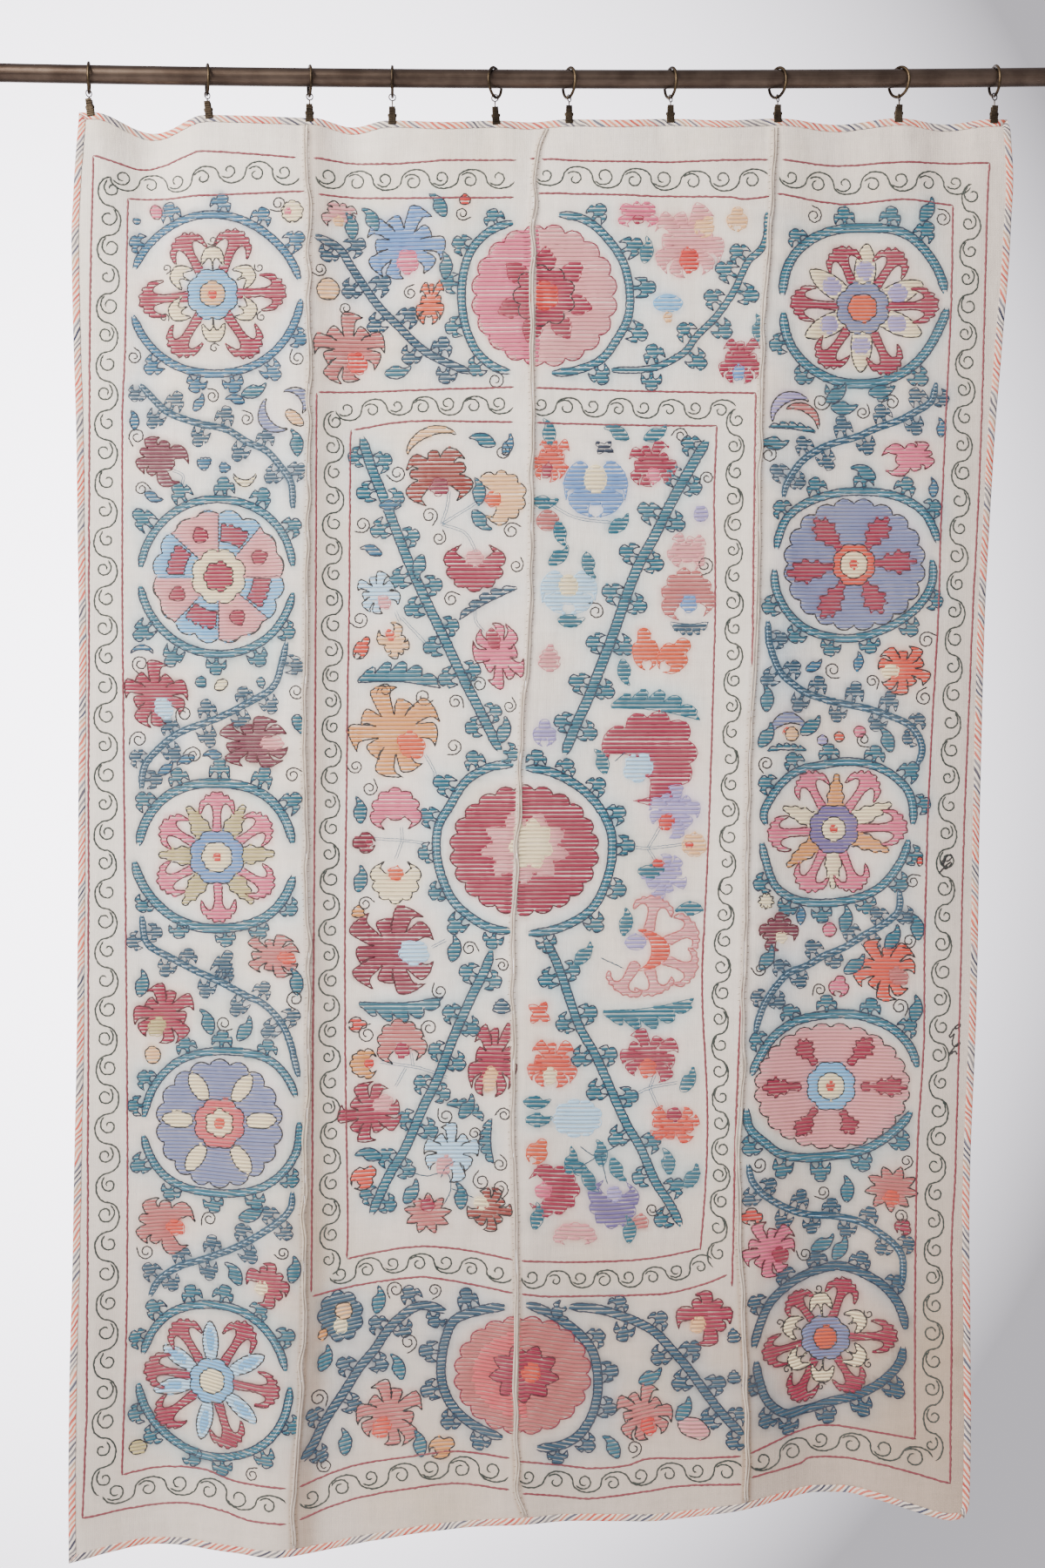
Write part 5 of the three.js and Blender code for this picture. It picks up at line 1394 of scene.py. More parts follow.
# In the right half the flowers were worked without outlines.
for row in (
    ("poppy", "pink", "crimson", 73.3, 24.6, 4.6, 3.0, 90),
    ("flame", "blush", "scarlet", 79.0, 28.1, 7.5, 9.0, 95),
    ("bean", "sky", "peach", 76.7, 35.7, 3.4, 3.8, 90),
    ("tuft", "peach", None, 80.9, 26.1, 2.2, 2.6, 60),
    ("tuft", "peach", None, 84.6, 25.3, 2.4, 2.8, 90),
    ("flame", "crimson", "cornflower", 85.0, 41.7, 4.6, 5.8, 80),
    ("flame", "coral", "crimson", 63.2, 53.0, 3.8, 5.8, 70),
    ("wings", "cornflower", None, 68.4, 56.1, 7.2, 7.2, 90),
    ("bean", "cream", None, 68.4, 56.4, 2.6, 6.0, 90),
    ("cross", "navy", None, 69.4, 51.4, 2.6, 1.8, 90),
    ("flame", "crimson", "pink", 74.9, 53.5, 5.2, 5.6, 100),
    ("bean", "salmon", None, 62.9, 60.9, 2.6, 4.6, 90),
    ("wings", "ice", None, 65.3, 68.0, 6.4, 5.6, 90),
    ("bean", "cream", None, 65.3, 68.4, 2.2, 4.8, 90),
    ("bean", "lilac", None, 80.2, 59.8, 1.6, 3.6, 70),
    ("peony", "salmon", "cornflower", 78.9, 68.2, 6.2, 6.0, 100),
    ("oak", "blush", None, 63.0, 77.0, 2.6, 6.0, 86),
    ("tuft", "tangerine", None, 74.1, 74.6, 3.0, 5.0, 96),
    ("tuft", "tangerine", None, 77.4, 75.3, 3.4, 4.8, 50),
    ("comb", "slate", None, 79.2, 71.8, 2.0, 4.4, 0),
    ("thistle", "blush", None, 78.9, 63.4, 4.6, 4.6, 90),
    ("comb_back", "teal", None, 75.4, 81.3, 3.4, 10.4, -8),
    ("peony", "crimson", "ice", 74.9, 86.7, 10.8, 10.8, 42),
    ("tuft", "lilac", None, 62.5, 84.2, 2.6, 3.2, 90),
    ("thistle", "lilac", "scarlet", 77.3, 93.3, 5.6, 6.4, 55),
    ("thistle", "lilac", "scarlet", 76.2, 100.4, 5.2, 5.4, -55),
    ("disc", "peach", "scarlet", 79.7, 97.0, 2.8, 2.8, 0),
    ("comb", "teal", None, 74.6, 116.0, 3.4, 10.6, 8),
    ("cross", "coral", None, 61.9, 116.2, 3.0, 3.0, 90),
    ("flame", "coral", "cream", 63.4, 122.3, 5.4, 6.0, 80),
    ("thistle", "crimson", "coral", 74.6, 121.4, 6.8, 6.4, 80),
    ("disc", "ice", None, 66.3, 128.4, 5.8, 4.4, 90),
    ("thistle", "coral", "crimson", 77.4, 128.9, 5.8, 4.8, -90),
    ("tuft", "tangerine", None, 61.7, 132.1, 2.4, 3.2, 60),
    ("peony", "crimson", "pink", 63.6, 136.6, 6.0, 6.0, 0),
    ("peony", "purple", "lilac", 70.4, 138.3, 5.8, 5.6, -95),
    ("peony", "blush", None, 66.0, 141.6, 5.0, 2.6, 90),
    ("bean", "salmon", None, 73.6, 141.0, 1.8, 3.0, 90),
):
    flower(*row, edge=None)
sow([(74.2, 28.7, 80), (87.0, 37.7, 90), (71.1, 60.1, 40), (64.5, 61.4, -70), (64.2, 63.8, 40),
     (67.7, 64.9, -75), (65.6, 71.2, 0), (62.9, 49.6, 100), (70.8, 49.7, 150), (75.3, 49.7, 30),
     (62.6, 57.6, 0), (69.0, 87.4, 110), (71.8, 105.8, 80), (67.0, 109.5, 50), (79.1, 104.4, 180),
     (74.8, 100.0, 0), (71.8, 77.2, -80), (65.5, 133.2, 80), (79.0, 124.0, 60), (76.6, 133.3, 100),
     (79.4, 135.0, 60), (61.6, 139.5, 80), (61.7, 126.4, 0), (61.9, 128.4, 0), (68.9, 132.4, 95),
     (66.3, 134.2, 150), (67.8, 135.6, -60), (71.0, 134.4, -60), (72.2, 141.2, 90)], edge=None)
# One open flower in faded pink: looped petals about a coral cup.
at = (74.0, 109.2)
rays(at, ARM, "blush", 2.2, [(78, 1.6, 6.4), (24, 1.8, 6.6), (-22, 1.8, 6.4), (-74, 1.6, 5.2),
                             (-122, 1.8, 5.6)], edge="salmon")
motif(centred(crescent(0.45), (74.6, 109.1), 5.0, 4.6, 0), "coral", None)
motif(centred(POD, (73.0, 109.0), 2.4, 3.4, 90), "lilac", None)

# Pale stems join the flowers of a spray: from, by way of, and to.
for line in (
    [50.7, 60.2, 51.3, 58.4, 51.6, 56.4], [50.7, 60.2, 53, 58.8, 56.2, 56.9],
    [50.7, 60.2, 53.4, 61.2, 54.7, 63.4], [49.9, 89.4, 49.9, 88.6, 48.8, 86.6],
    [48.7, 96.8, 46.2, 96.5, 42.8, 96.3], [46.2, 96.5, 46.1, 94.9], [46.2, 96.5, 45.4, 98.7],
    [51.2, 107.9, 49.6, 108.8], [51.4, 123.7, 48, 122.6, 43.6, 122],
    [47.4, 122.4, 47.2, 120.9], [46.6, 122.6, 45.4, 124.8], [54.6, 69.2, 54.6, 71.2, 55.6, 72.6],
    [45.9, 71.4, 45.4, 70.2], [49.2, 74.2, 46, 70.8],
    [71.9, 97.1, 74.4, 97.4, 78.6, 96.9], [74.4, 97.4, 75.9, 94.8], [74.4, 97.4, 75.4, 99],
    [62.4, 57.4, 66, 59.4, 70.2, 60], [72.5, 125.9, 74.6, 124.9, 77.8, 124.3],
    [74.6, 124.9, 75.2, 123.4], [74.6, 124.9, 75.6, 127.2], [19.8, 54, 21, 54.6, 20.8, 55.9],
):
    line = soft(line, closed=False)
    for off in -0.13, 0.13:
        stitch(beside(line, off), "steel", 1, step=3.0)
for line in ([50.6, 135.2, 51.2, 134, 52.4, 133.2],
    [46.6, 134.4, 49, 135, 51.2, 134.6, 51.8, 136.4, 51, 138.2], [51.8, 136.4, 54.4, 137.5],
    [65.6, 134.6, 69, 132.6, 70.8, 131.6], [66.6, 131.6, 68, 132.6, 69, 132.6],
    [69, 132.6, 69.4, 134.6, 69.8, 136], [70.6, 87.4, 72, 86.2], [69, 110, 71.6, 111.2]):
    stitch(soft(line, closed=False), "slate", 1.8)
print("flowers in the field and bands done")

# %% Tendrils
# Where the tendrils curl.
TENDRILS = [
    32, 23.5, 15.3, 40.9, 34.2, 41.2, 15.7, 50.1, 16.2, 56.1, 24.4, 45.5, 28.3, 48.1,
    15.9, 84.9, 16.1, 76.2, 21.1, 82, 34.1, 79.4, 22.2, 86.7, 33.7, 89, 25.7, 117.5,
    34, 114.6, 16.7, 143.8, 32.6, 143.6, 24, 140, 29, 169.2, 36.8, 31,
    39.7, 35.4, 47.1, 33.6, 53.1, 24.6, 56.9, 43.7, 93.5, 24.7, 108.3, 25,
    94.3, 46.1, 102.4, 46.2, 99.1, 47.3, 88.2, 52.3, 95.7, 76.9, 106.4, 73.5,
    106.1, 80.1, 100.2, 78.2, 99.2, 84.9, 87.9, 87.7, 104.8, 101.2, 104.4, 108,
    103.3, 115.6, 94.2, 113.7, 87.2, 111.2, 104.1, 133.3, 94.6, 137, 87.1, 133.6,
    103.4, 139.6, 92.5, 144.1, 45.6, 54.3, 41.6, 60.2, 49.3, 59.2, 50.4, 61.8,
    57.7, 51.9, 58.7, 61, 59.3, 65, 51.8, 68.8, 41.3, 71.1, 44.2, 79.2, 48.6, 80,
    52.3, 80.6, 55, 78.6, 58.5, 81.1, 52.1, 85.7, 40.8, 88, 42.4, 90.5, 41.9, 103.8,
    53.9, 108.9, 57.7, 110.8, 50.5, 113.8, 42.1, 118.8, 49.3, 118, 51.2, 128.1,
    57.9, 127.9, 54.5, 130.1, 57.4, 133.6, 55.3, 135.6, 57.4, 136.4, 78.2, 50,
    81.2, 54.9, 68.4, 70.2, 80.9, 64.9, 74.9, 138.9, 45.4, 148.1, 49.9, 148.1,
    46.9, 154.1, 36.6, 160.4, 37.3, 168.2, 72.8, 166.3,
]
for x, y in np.reshape(TENDRILS, (-1, 2)):
    way = 1 if hand.random() < 0.5 else -1
    curl((x, y), hand.uniform(0.75, 1.05), hand.uniform(0, 360), 1.45, way, stem=0.8)
# Tangled ends of thread on the right border.
for x, y, long in ((109.6, 117.6, 3.8), (108.6, 98.4, 1.6)):
    t = np.linspace(0, 1, 60)
    tangle = [x + 0.8 * np.sin(17 * t) * np.sin(5 * t + 1), y + long * t + 0.5 * np.cos(23 * t)]
    stitch(np.stack(tangle, -1), "charcoal", 2.8, step=2.4)
print("tendrils:", len(TENDRILS) // 2)

# %% [markdown]
# ## The borders
# Two frames go round the cloth, each between two dull red guide lines. A dark stem runs along
# each frame in bays that change sides, and every bay holds one curl. The guide lines were drawn
# before the strips were sewn, so they step a little at each seam.

# %% Guide lines and running scrolls
GUIDES = [
    [10.7, 17.9, 10.3, 40, 10.2, 100, 10.2, 156, 10.05, 164.6, 9.7, 173.9],
    [10.7, 17.8, 14.1, 18.7, 15.9, 19, 17.9, 18.7, 21.8, 17.6, 24, 17.4, 34, 18.2],
    [36, 18.2, 44, 18.8, 52, 18.5, 59.3, 18.4],
    [60.8, 18.2, 70, 18.6, 80, 18.6, 88.2, 18.4],
    [89.8, 18.4, 96, 18.9, 104, 18.6, 113.7, 18.7],
    [113.7, 18.7, 113.4, 23.5, 112.7, 50, 111.8, 70, 110.8, 95, 110.3, 115, 109.8, 130, 109.6, 136,
     109.2, 142.6, 109.1, 156, 108.9, 170],
    [9.7, 173.9, 16.3, 173.1, 21.5, 172.8, 25.5, 173.5, 28.6, 174.4, 33, 174.6],
    [34.5, 174.2, 40.1, 172.3, 46.6, 171, 52.2, 170.3, 58.5, 170.8],
    [59.3, 171.1, 64.2, 171.7, 68, 172.1, 74.5, 171.2, 78.2, 170.6, 85.4, 170.1],
    [86.2, 169.4, 91.7, 168.3, 93.6, 167.6, 100.2, 168, 108.9, 170],
    [14.5, 22.5, 14.3, 40, 14, 50, 14.1, 78, 14.5, 115, 14.6, 140, 14.4, 156, 14, 169.4],
    [14.5, 22.5, 25, 22.4, 35, 22.1],
    [36.6, 22.4, 48, 22.8, 59, 22.7],
    [61.8, 22.2, 82, 22.7, 85.2, 23, 88.3, 22.7],
    [89.2, 22.3, 96.8, 23.3, 104, 22.9, 109.5, 23.5],
    [109.5, 23.5, 109.2, 35, 108.8, 44, 108.4, 52.4, 108, 61.5, 107.8, 69.7, 107.2, 80.2,
     106.6, 92.6, 106.2, 106.4, 106.1, 119.2, 105.4, 130.3, 105.1, 143.4, 105, 165.1],
    [14.1, 169.3, 18, 168.7, 23.2, 168.8, 27.3, 170.1, 33, 170.5],
    [34.5, 170.4, 40.1, 168.5, 46.6, 167.3, 52.2, 166.6, 58.5, 167.2],
    [59.3, 167.5, 64.2, 168.1, 67.9, 168.6, 71.9, 168.3, 74.5, 167.5, 79.7, 167.4, 85, 166.9],
    [86.1, 166.6, 92.3, 164.4, 96.6, 164, 105.1, 165.1],
    [36.4, 45.2, 36.2, 90, 35.8, 148.2],
    [36.6, 45.1, 59, 44.5],
    [61.2, 44.6, 82, 45.1, 86.7, 45.2],
    [86.7, 45.2, 86, 90, 84.5, 126.6, 84, 147.5],
    [35.9, 148.7, 40.6, 147.7, 47.3, 146.7, 50.6, 146.8, 58.9, 148.3],
    [59.9, 148.4, 64.2, 148.8, 75.4, 148.6, 80.5, 147.5, 83.4, 146.2],
    [40.3, 49.3, 40.2, 52.4, 40.1, 66.7, 39.9, 80, 39.6, 105, 39.6, 118.2, 39.9, 139.5,
     39.8, 144.5],
    [40.6, 49.3, 46.9, 48.4, 58.9, 48.5],
    [60.6, 48.6, 72, 48.8, 82.3, 48.9],
    [82.3, 48.9, 82, 57.6, 82.1, 70.9, 81.4, 94.5, 81, 103.6, 80.6, 113.6, 81.2, 126.6, 81, 135.7,
     80.4, 143.5],
    [39.8, 144.6, 47, 143.2, 52, 143.3, 58.9, 144.5],
    [59.9, 144.6, 66, 144.9, 74, 144.6, 80.4, 143.4],
]
for line in GUIDES:
    stitch(soft(line, closed=False, per=8), "guide", 3.4, step=4.2)


def running_scroll(line, bay, swing):
    """A stem in bays along a line, with a curl in every bay."""
    line = evenly(soft(line, closed=False, per=8), 0.5)
    gone = np.concatenate([[0], np.cumsum(np.hypot(*np.diff(line, axis=0).T))])
    bays = max(1, round(gone[-1] / bay))
    bay = gone[-1] / bays
    tangent = np.gradient(line, axis=0)
    tangent /= np.linalg.norm(tangent, axis=1, keepdims=True)

    def on(along, off):
        along = np.clip(along, 0, gone[-1])
        base = np.stack([np.interp(along, gone, line[:, k]) for k in (0, 1)], -1)
        way = np.stack([np.interp(along, gone, tangent[:, k]) for k in (0, 1)], -1)
        side = np.stack([-way[..., 1], way[..., 0]], -1)
        return base + side * np.reshape(off, (-1, 1))

    t = np.linspace(0, 1, 10, endpoint=False)
    stem, side = [], 1
    for k in range(bays):
        start = k * bay
        size = swing * hand.uniform(0.88, 1.08)
        swings = side * size * np.sin(np.pi * t)
        stem.append(on(start + bay * (0.5 - 0.5 * np.cos(np.pi * t)), swings))
        wind = np.linspace(0, 1, 22)
        angle = np.radians(150 - hand.uniform(360, 460) * wind)
        radius = mix(0.36, hand.uniform(0.08, 0.16), wind**0.7) * bay * hand.uniform(0.86, 1.05)
        along = start + 0.40 * bay + radius * np.cos(angle)
        off = side * (-0.16 * size + radius * np.sin(angle) * 0.95)
        stitch(on(along, off), "scroll", 2.8, step=3.0)
        side = -side
    stitch(np.vstack(stem), "scroll", 2.9, step=3.6)


def midway(a, b):
    """A line half way between two others."""
    a, b = soft(a, closed=False, per=8), soft(b, closed=False, per=8)
    share = np.linspace(0, 1, 80)
    ends = [
        np.stack([np.interp(share, np.linspace(0, 1, len(p)), p[:, k]) for k in (0, 1)], -1)
        for p in (a, b)
    ]
    return (ends[0] + ends[1]) / 2


# Pairs of guide lines with a scroll between them: the two lines, the bay and the swing.
for outer, inner, bay, swing in (
    (0, 10, 3.4, 1.3), (1, 11, 3.3, 1.2), (2, 12, 3.3, 1.2), (3, 13, 3.3, 1.2), (4, 14, 3.3, 1.2),
    (5, 15, 3.2, 1.15), (6, 16, 3.3, 1.2), (7, 17, 3.3, 1.2), (8, 18, 3.3, 1.1), (9, 19, 3.3, 1.2),
    (20, 26, 2.95, 1.15), (21, 27, 2.95, 1.1), (22, 28, 2.95, 1.1), (23, 29, 2.95, 1.0),
    (24, 30, 2.95, 1.1), (25, 31, 2.95, 1.1),
):
    running_scroll(midway(GUIDES[outer], GUIDES[inner]), bay, swing)
print("rows laid:", sum(len(r) for r in rows_worked.values()))
print("stem-stitched lines:", sum(len(runs) for runs in stem_lines.values()))

# %% [markdown]
# ## Running dye and painted shade in the ground
# Old silk dyes run when the cloth is washed. The ground near much crimson turns pink and near
# much blue turns grey-blue. The worked rows are counted on a coarse grid, the counts are
# blurred, and the result tints the cotton, point by point. Painted shade goes into the same
# tint: beside the first seam, at the foot of each seam, towards the bottom and towards the right.

# %% Let the dye run
DYE_CELL = 5.0
DYE_LEFT, DYE_TOP = -660.0, -20.0
GRID_SIZE = (412, 280)
RED_RUNS = 0.15  # the red dyes run less than the blue ones
dye_grid = np.zeros(GRID_SIZE + (4,))
wash_grid = np.zeros(GRID_SIZE + (4,))  # the hue that runs out of the silk, whatever its depth


def drop_dye(x, z, silk, amount):
    i = np.clip(((DYE_TOP - np.asarray(z)) / DYE_CELL).astype(int), 0, GRID_SIZE[0] - 1)
    j = np.clip(((np.asarray(x) - DYE_LEFT) / DYE_CELL).astype(int), 0, GRID_SIZE[1] - 1)
    colour = np.array(linear(SILKS[silk])[:3])
    hue = colour / colour.mean()
    fast = RED_RUNS if hue[0] > hue[2] else 1.0
    np.add.at(dye_grid, (i, j), np.append(colour, 1.0) * amount)
    np.add.at(wash_grid, (i, j), np.append(hue, 1.0) * amount * fast)


def blurred(grid, radius):
    """The grid spread over its neighbours, radius in cells."""
    reach = math.ceil(radius * 2.5)
    spread = np.exp(-((np.arange(-reach, reach + 1) / radius) ** 2))
    spread /= spread.sum()
    for axis in (0, 1):
        grid = np.apply_along_axis(np.convolve, axis, grid, spread, mode="same")
    return grid


for (panel, k), spans in rows_worked.items():
    level = FIRST_ROW[panel] + k * ROW_PITCH[panel]
    for start, stop, silk in spans:
        x = np.arange(start + 1, stop, DYE_CELL / 2)
        drop_dye(x, level + weft(panel, x, level), silk, 0.46)
for silk, runs in stem_lines.items():
    for points, _ in runs:
        drop_dye(*points.T, silk, 0.10 if silk != "charcoal" else 0.04)
under_rows, around = blurred(dye_grid, 0.9), blurred(wash_grid, 3.6)


def looked_up(grid, x, z):
    """Colour and amount in a grid at each place."""
    v = np.clip((DYE_TOP - z) / DYE_CELL - 0.5, 0, GRID_SIZE[0] - 1.01)
    u = np.clip((x - DYE_LEFT) / DYE_CELL - 0.5, 0, GRID_SIZE[1] - 1.01)
    i, j = v.astype(int), u.astype(int)
    s, t = (v - i)[:, None], (u - j)[:, None]
    found = mix(mix(grid[i, j], grid[i, j + 1], t), mix(grid[i + 1, j], grid[i + 1, j + 1], t), s)
    amount = np.clip(found[:, 3:], 0, 1)
    return found[:, :3] / np.maximum(found[:, 3:], 1e-6), amount


FOLD_SHADE = 0.29  # painted shade of the fold beside the first seam
LOW_SHADE = 0.32  # painted shade: the end near the floor is painted darker, where less light reaches it
RIGHT_SHADE = 0.22  # painted shade: the right side, away from the window light, is painted a little darker
SEAM_FOOT_SHADOW = 0.2  # painted shadow at the foot of each seam
HALO = 0.5  # how strong the tint is beside the silk
UNDER_ROWS = 0.85  # and between the laid rows


def tint_and_painted_shade_at(x, z):
    """The tint of the ground at each place, as a colour to multiply with: run dye and painted
    shade.
    """
    near, near_amount = looked_up(under_rows, x, z)
    far, far_amount = looked_up(around, x, z)
    strength = mix(far.mean(axis=1, keepdims=True), far.max(axis=1, keepdims=True), 0.5)
    far = far / np.maximum(strength, 1e-6)
    uneven = 0.6 + 0.7 * noise(x, z, 60, 1)[:, None]
    halo = 1 + (far - 1) * HALO * np.clip(uneven, 0.1, 1.3) * far_amount**0.8
    under = mix(1, near, UNDER_ROWS * near_amount**1.2)
    # Painted shade: the fold just right of the first seam is darkened in the tint.
    fold_shade_band = np.exp(-(((x - upright(1, z) - 16) / 17) ** 2))
    # Painted shade: the cloth is darkened towards the bottom, more so on the right.
    low = np.clip((-z - 1150) / 600, 0, 1) ** 1.5
    # Painted shadow: a thin dark band at the foot of each seam.
    foot = SEAM_FOOT_SHADOW * np.exp(-(((seam_distance(x, z) - 4) / 3) ** 2))
    low = low * (0.7 + 0.4 * np.clip((x + 500) / 500, 0, 1))
    # Painted shade: the right side, away from the window light, is darkened.
    right = np.clip((x - 100) / 500, 0, 1)
    # These four marks are painted shade, summed and multiplied into the run dye.
    painted_shade = FOLD_SHADE * fold_shade_band + foot + LOW_SHADE * low + RIGHT_SHADE * right
    shade_factor = 1 - painted_shade[:, None] * [0.85, 1.0, 1.1]
    return np.hstack([np.clip(halo * under * shade_factor, 0, 1.1), np.ones((len(x), 1))])


print("most silk in a cell:", round(float(dye_grid[..., 3].max()), 2))

# %% Make the four strips
FOLD_WIDTH, FOLD_LENGTH = 1.01, 1.004  # the folds and crinkles take up this much cloth
for panel, (x, z) in enumerate(GRIDS):
    y = depth_at(x, z) + crinkle(x, z)
    faces = [np.stack([x, y + side, z], -1).reshape(-1, 3) for side in (-CLOTH / 2, CLOTH / 2)]
    strip = mesh_piece(f"strip_{panel + 1}", np.vstack(faces), sheet_faces(*x.shape), cotton)
    # The tint holds the run dye and the painted shade; the back gets a paler copy.
    tint = tint_and_painted_shade_at(x.ravel(), z.ravel())
    layer = strip.data.color_attributes.new("dye_and_painted_shade", "FLOAT_COLOR", "POINT")
    layer.data.foreach_set("color", np.vstack([tint, mix(tint, 1, 0.25)]).ravel())
    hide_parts(f"panel_{panel + 1}")
    length = float(np.mean(z[:, 0] - z[:, -1])) * FOLD_LENGTH

# %% [markdown]
# ## The silk thread
# The thread is floss silk, hardly twisted, so it shines along its length. It has faded where
# light reached it, in patches as wide as a hand and in streaks from thread to thread. Its
# colour is the same for the whole stitch, and a fine bump that runs with the thread gives the
# strands. They are 0.1 mm on the real cloth and are drawn at 0.5 mm, so that they show.

# %% Silk in every colour
STRAND_MM = 0.5


def silk_material(name, hex_colour):
    material, tree, shader = new_material(name, Roughness=0.55, Sheen_Weight=0.08)
    place = add_node(tree, "TexCoord", {}).outputs["Object"]
    along = add_node(tree, "UVMap", {"uv_map": "Stitch"})
    patch = add_node(tree, "TexNoise", {"Vector": place, "Scale": 13.0, "Detail": 3.0,
                                        "Roughness": 0.6})
    drawn = add_node(tree, "Mapping", {"Vector": along, "Scale": (0.035, 0.5 / STRAND_MM, 1.0)})
    strand = add_node(tree, "TexNoise", {"Vector": drawn, "Scale": 1.0, "Detail": 3.0,
                                         "Roughness": 0.7})
    both = add_node(tree, "Math", {"operation": "ADD", 0: patch, 1: strand})
    fading = add_node(tree, "MapRange", {"Value": both, "From Min": 0.8, "From Max": 1.4,
                                         "To Min": 0.0, "To Max": 0.26})
    fresh = linear(hex_colour)
    pale = [mix(c, f, 0.28) for c, f in zip(fresh, linear("#E8DCCB"))]
    colour = add_node(tree, "Mix", {"data_type": "RGBA", 0: fading, 6: fresh, 7: pale})
    bump = add_node(tree, "Bump", {"Height": strand, "Strength": 0.4, "Distance": 0.0003})
    plug(tree, shader, Base_Color=colour.outputs[2], Normal=bump.outputs[0])
    return material


silk_materials = {name: silk_material(f"floss_silk_{name}", SILKS[name]) for name in SILKS}
print("silks dyed:", len(silk_materials))

# %% [markdown]
# ## Laying the thread on the cloth
# Every row and every line becomes a low closed ribbon with a crown along its middle. Smooth
# shading rounds it. Each of its points takes its depth from the cloth just under it, so the
# thread follows every fold. A stem stitch swells and narrows with each stitch. All runs
# of one colour make one piece.

# %% Turn runs of thread into ribbons
def ribbon_mesh(runs, height):
    """Closed ribbons along runs of (points, half widths), as points, faces and UVs."""
    counts = np.array([len(points) for points, _ in runs])
    line = np.vstack([points for points, _ in runs])
    half = np.concatenate([widths for _, widths in runs])
    first = np.zeros(len(line), bool)
    first[np.concatenate([[0], np.cumsum(counts)[:-1]])] = True
    last = np.roll(first, -1)
    index = np.arange(len(line))
    before = np.where(first, index, index - 1)
    after = np.where(last, index, (index + 1) % len(line))
    way = line[after] - line[before]
    way /= np.linalg.norm(way, axis=1, keepdims=True) + 1e-9
    side = np.stack([-way[:, 1], way[:, 0]], -1)
    across = np.array([-1.0, 0.0, 1.0])
    lifts = np.array([-0.15, 1.0, -0.15]) * height  # the edges sink into the cloth
    at = line[:, None, :] + side[:, None, :] * (half[:, None] * across)[..., None]
    thin = np.clip(half / 0.9, 0.35, 1.0)[:, None]
    lift = np.where(lifts > 0, lifts * thin, lifts)
    y = face_at(at[..., 0], at[..., 1]) - lift
    points = np.stack([at[..., 0], y, at[..., 1]], -1).reshape(-1, 3)
    ring = index[:, None] * 3 + np.arange(3)
    here, there = ring[~last], ring[after[~last]]
    nxt = [1, 2, 0]
    sides = np.stack([here, here[:, nxt], there[:, nxt], there], -1).reshape(-1, 4)
    caps = np.vstack([ring[first][:, [0, 2, 1, 0]], ring[last][:, [0, 1, 2, 0]]])
    step = np.where(first, 0, np.linalg.norm(line - line[before], axis=1))
    gone = np.cumsum(step)
    own = np.cumsum(first) * 37.7
    uv = np.stack([gone[:, None] + across * 0, own[:, None] + across * half[:, None]], -1)
    return points, np.vstack([sides, caps]), uv.reshape(-1, 2)


def row_runs(silk):
    """The laid rows of one silk."""
    runs = []
    for (panel, k), spans in sorted(rows_worked.items()):
        level = FIRST_ROW[panel] + k * ROW_PITCH[panel]
        for start, stop, name in spans:
            if name != silk or stop - start < 1.6:
                continue
            pieces = max(1, math.ceil((stop - start - 2) / 11))
            inside = np.linspace(start + 0.8, stop - 0.8, pieces + 1)
            x = np.concatenate([[start], inside, [stop]])
            z = level + weft(panel, x, level + weft(panel, x, level)) + hand.normal(0, 0.18)
            width = np.full(len(x), ROW_PITCH[panel] * ROW_SHARE / 2 * hand.uniform(0.9, 1.08))
            width[[0, -1]] *= 0.45
            runs.append((np.stack([x, z], -1), width))
    return runs


def stem_runs(silk):
    """The stem-stitched lines of one silk, a little wider in the middle of each stitch."""
    runs = []
    for points, width in stem_lines[silk]:
        beat = np.where(np.arange(len(points)) % 2 == 0, 0.84, 1.12)
        half = width / 2 * beat
        half[[0, -1]] = width * 0.2
        runs.append((points, half))
    return runs


print("thickest ribbon stands 0.75 mm off the cloth")

# %% [markdown]
# ## The seams
# The strips were sewn with their edges folded to the front, so each seam stands up as two thin
# rolls of cotton that waver from side to side. Small slanting stitches of dull thread hold
# them. The rolls are ribbons like the silk, only wider and higher. Their cotton is a darker
# copy of the ground's, painted shade for the shaded sides of the ridge.

# %% Roll and whip the seams
ROLL_HALF, ROLL_HIGH, ROLL_APART = 1.7, 2.4, 1.8  # mm
WHIP_PITCH = 9.0
# Painted shade: the rolls' cotton is coloured darker than the ground's to stand for the shade on
# the ridge.
roll_cotton_painted_shade = cotton_material("seam_cotton_painted_shade", "#CEC1B2")
for k in (1, 2, 3):
    x_mid = float(upright(k, -1000.0))
    z = np.arange(top_edge(x_mid) - TAPE_WIDTH, hem_edge(x_mid) + TAPE_WIDTH, -4.0)
    middle = upright(k, z) + 2.8 * noise(40 * k, z, 34, 2) + 3.0 * noise(40 * k, z, 90, 3) ** 3
    rolls = []
    for side in (-1, 1):
        apart = side * ROLL_APART * (1 + 0.35 * noise(9 * side, z, 26, 1))
        swell = ROLL_HALF * (1 + 0.25 * noise(5 * side, z, 19, 0))
        rolls.append((np.stack([middle + apart, z], -1), swell))
    points, faces, uv = ribbon_mesh(rolls, ROLL_HIGH)
    roll = mesh_piece(f"seam_roll_{k}", points, faces, roll_cotton_painted_shade, uv, "Stitch")
    for at in np.arange(z[0] - 3, z[-1] + 3, -WHIP_PITCH):
        x = float(np.interp(-at, -z, middle))
        reach = hand.uniform(5.0, 6.4)
        for start, stop in ((-reach, -2.4), (2.4, reach)):
            bite = np.array([start, (start + stop) / 2, stop])
            stem_lines["whip"].append((np.stack([x + bite, at + 0.3 * bite], -1), 1.1))
    print(roll.name, "of", len(z), "places")

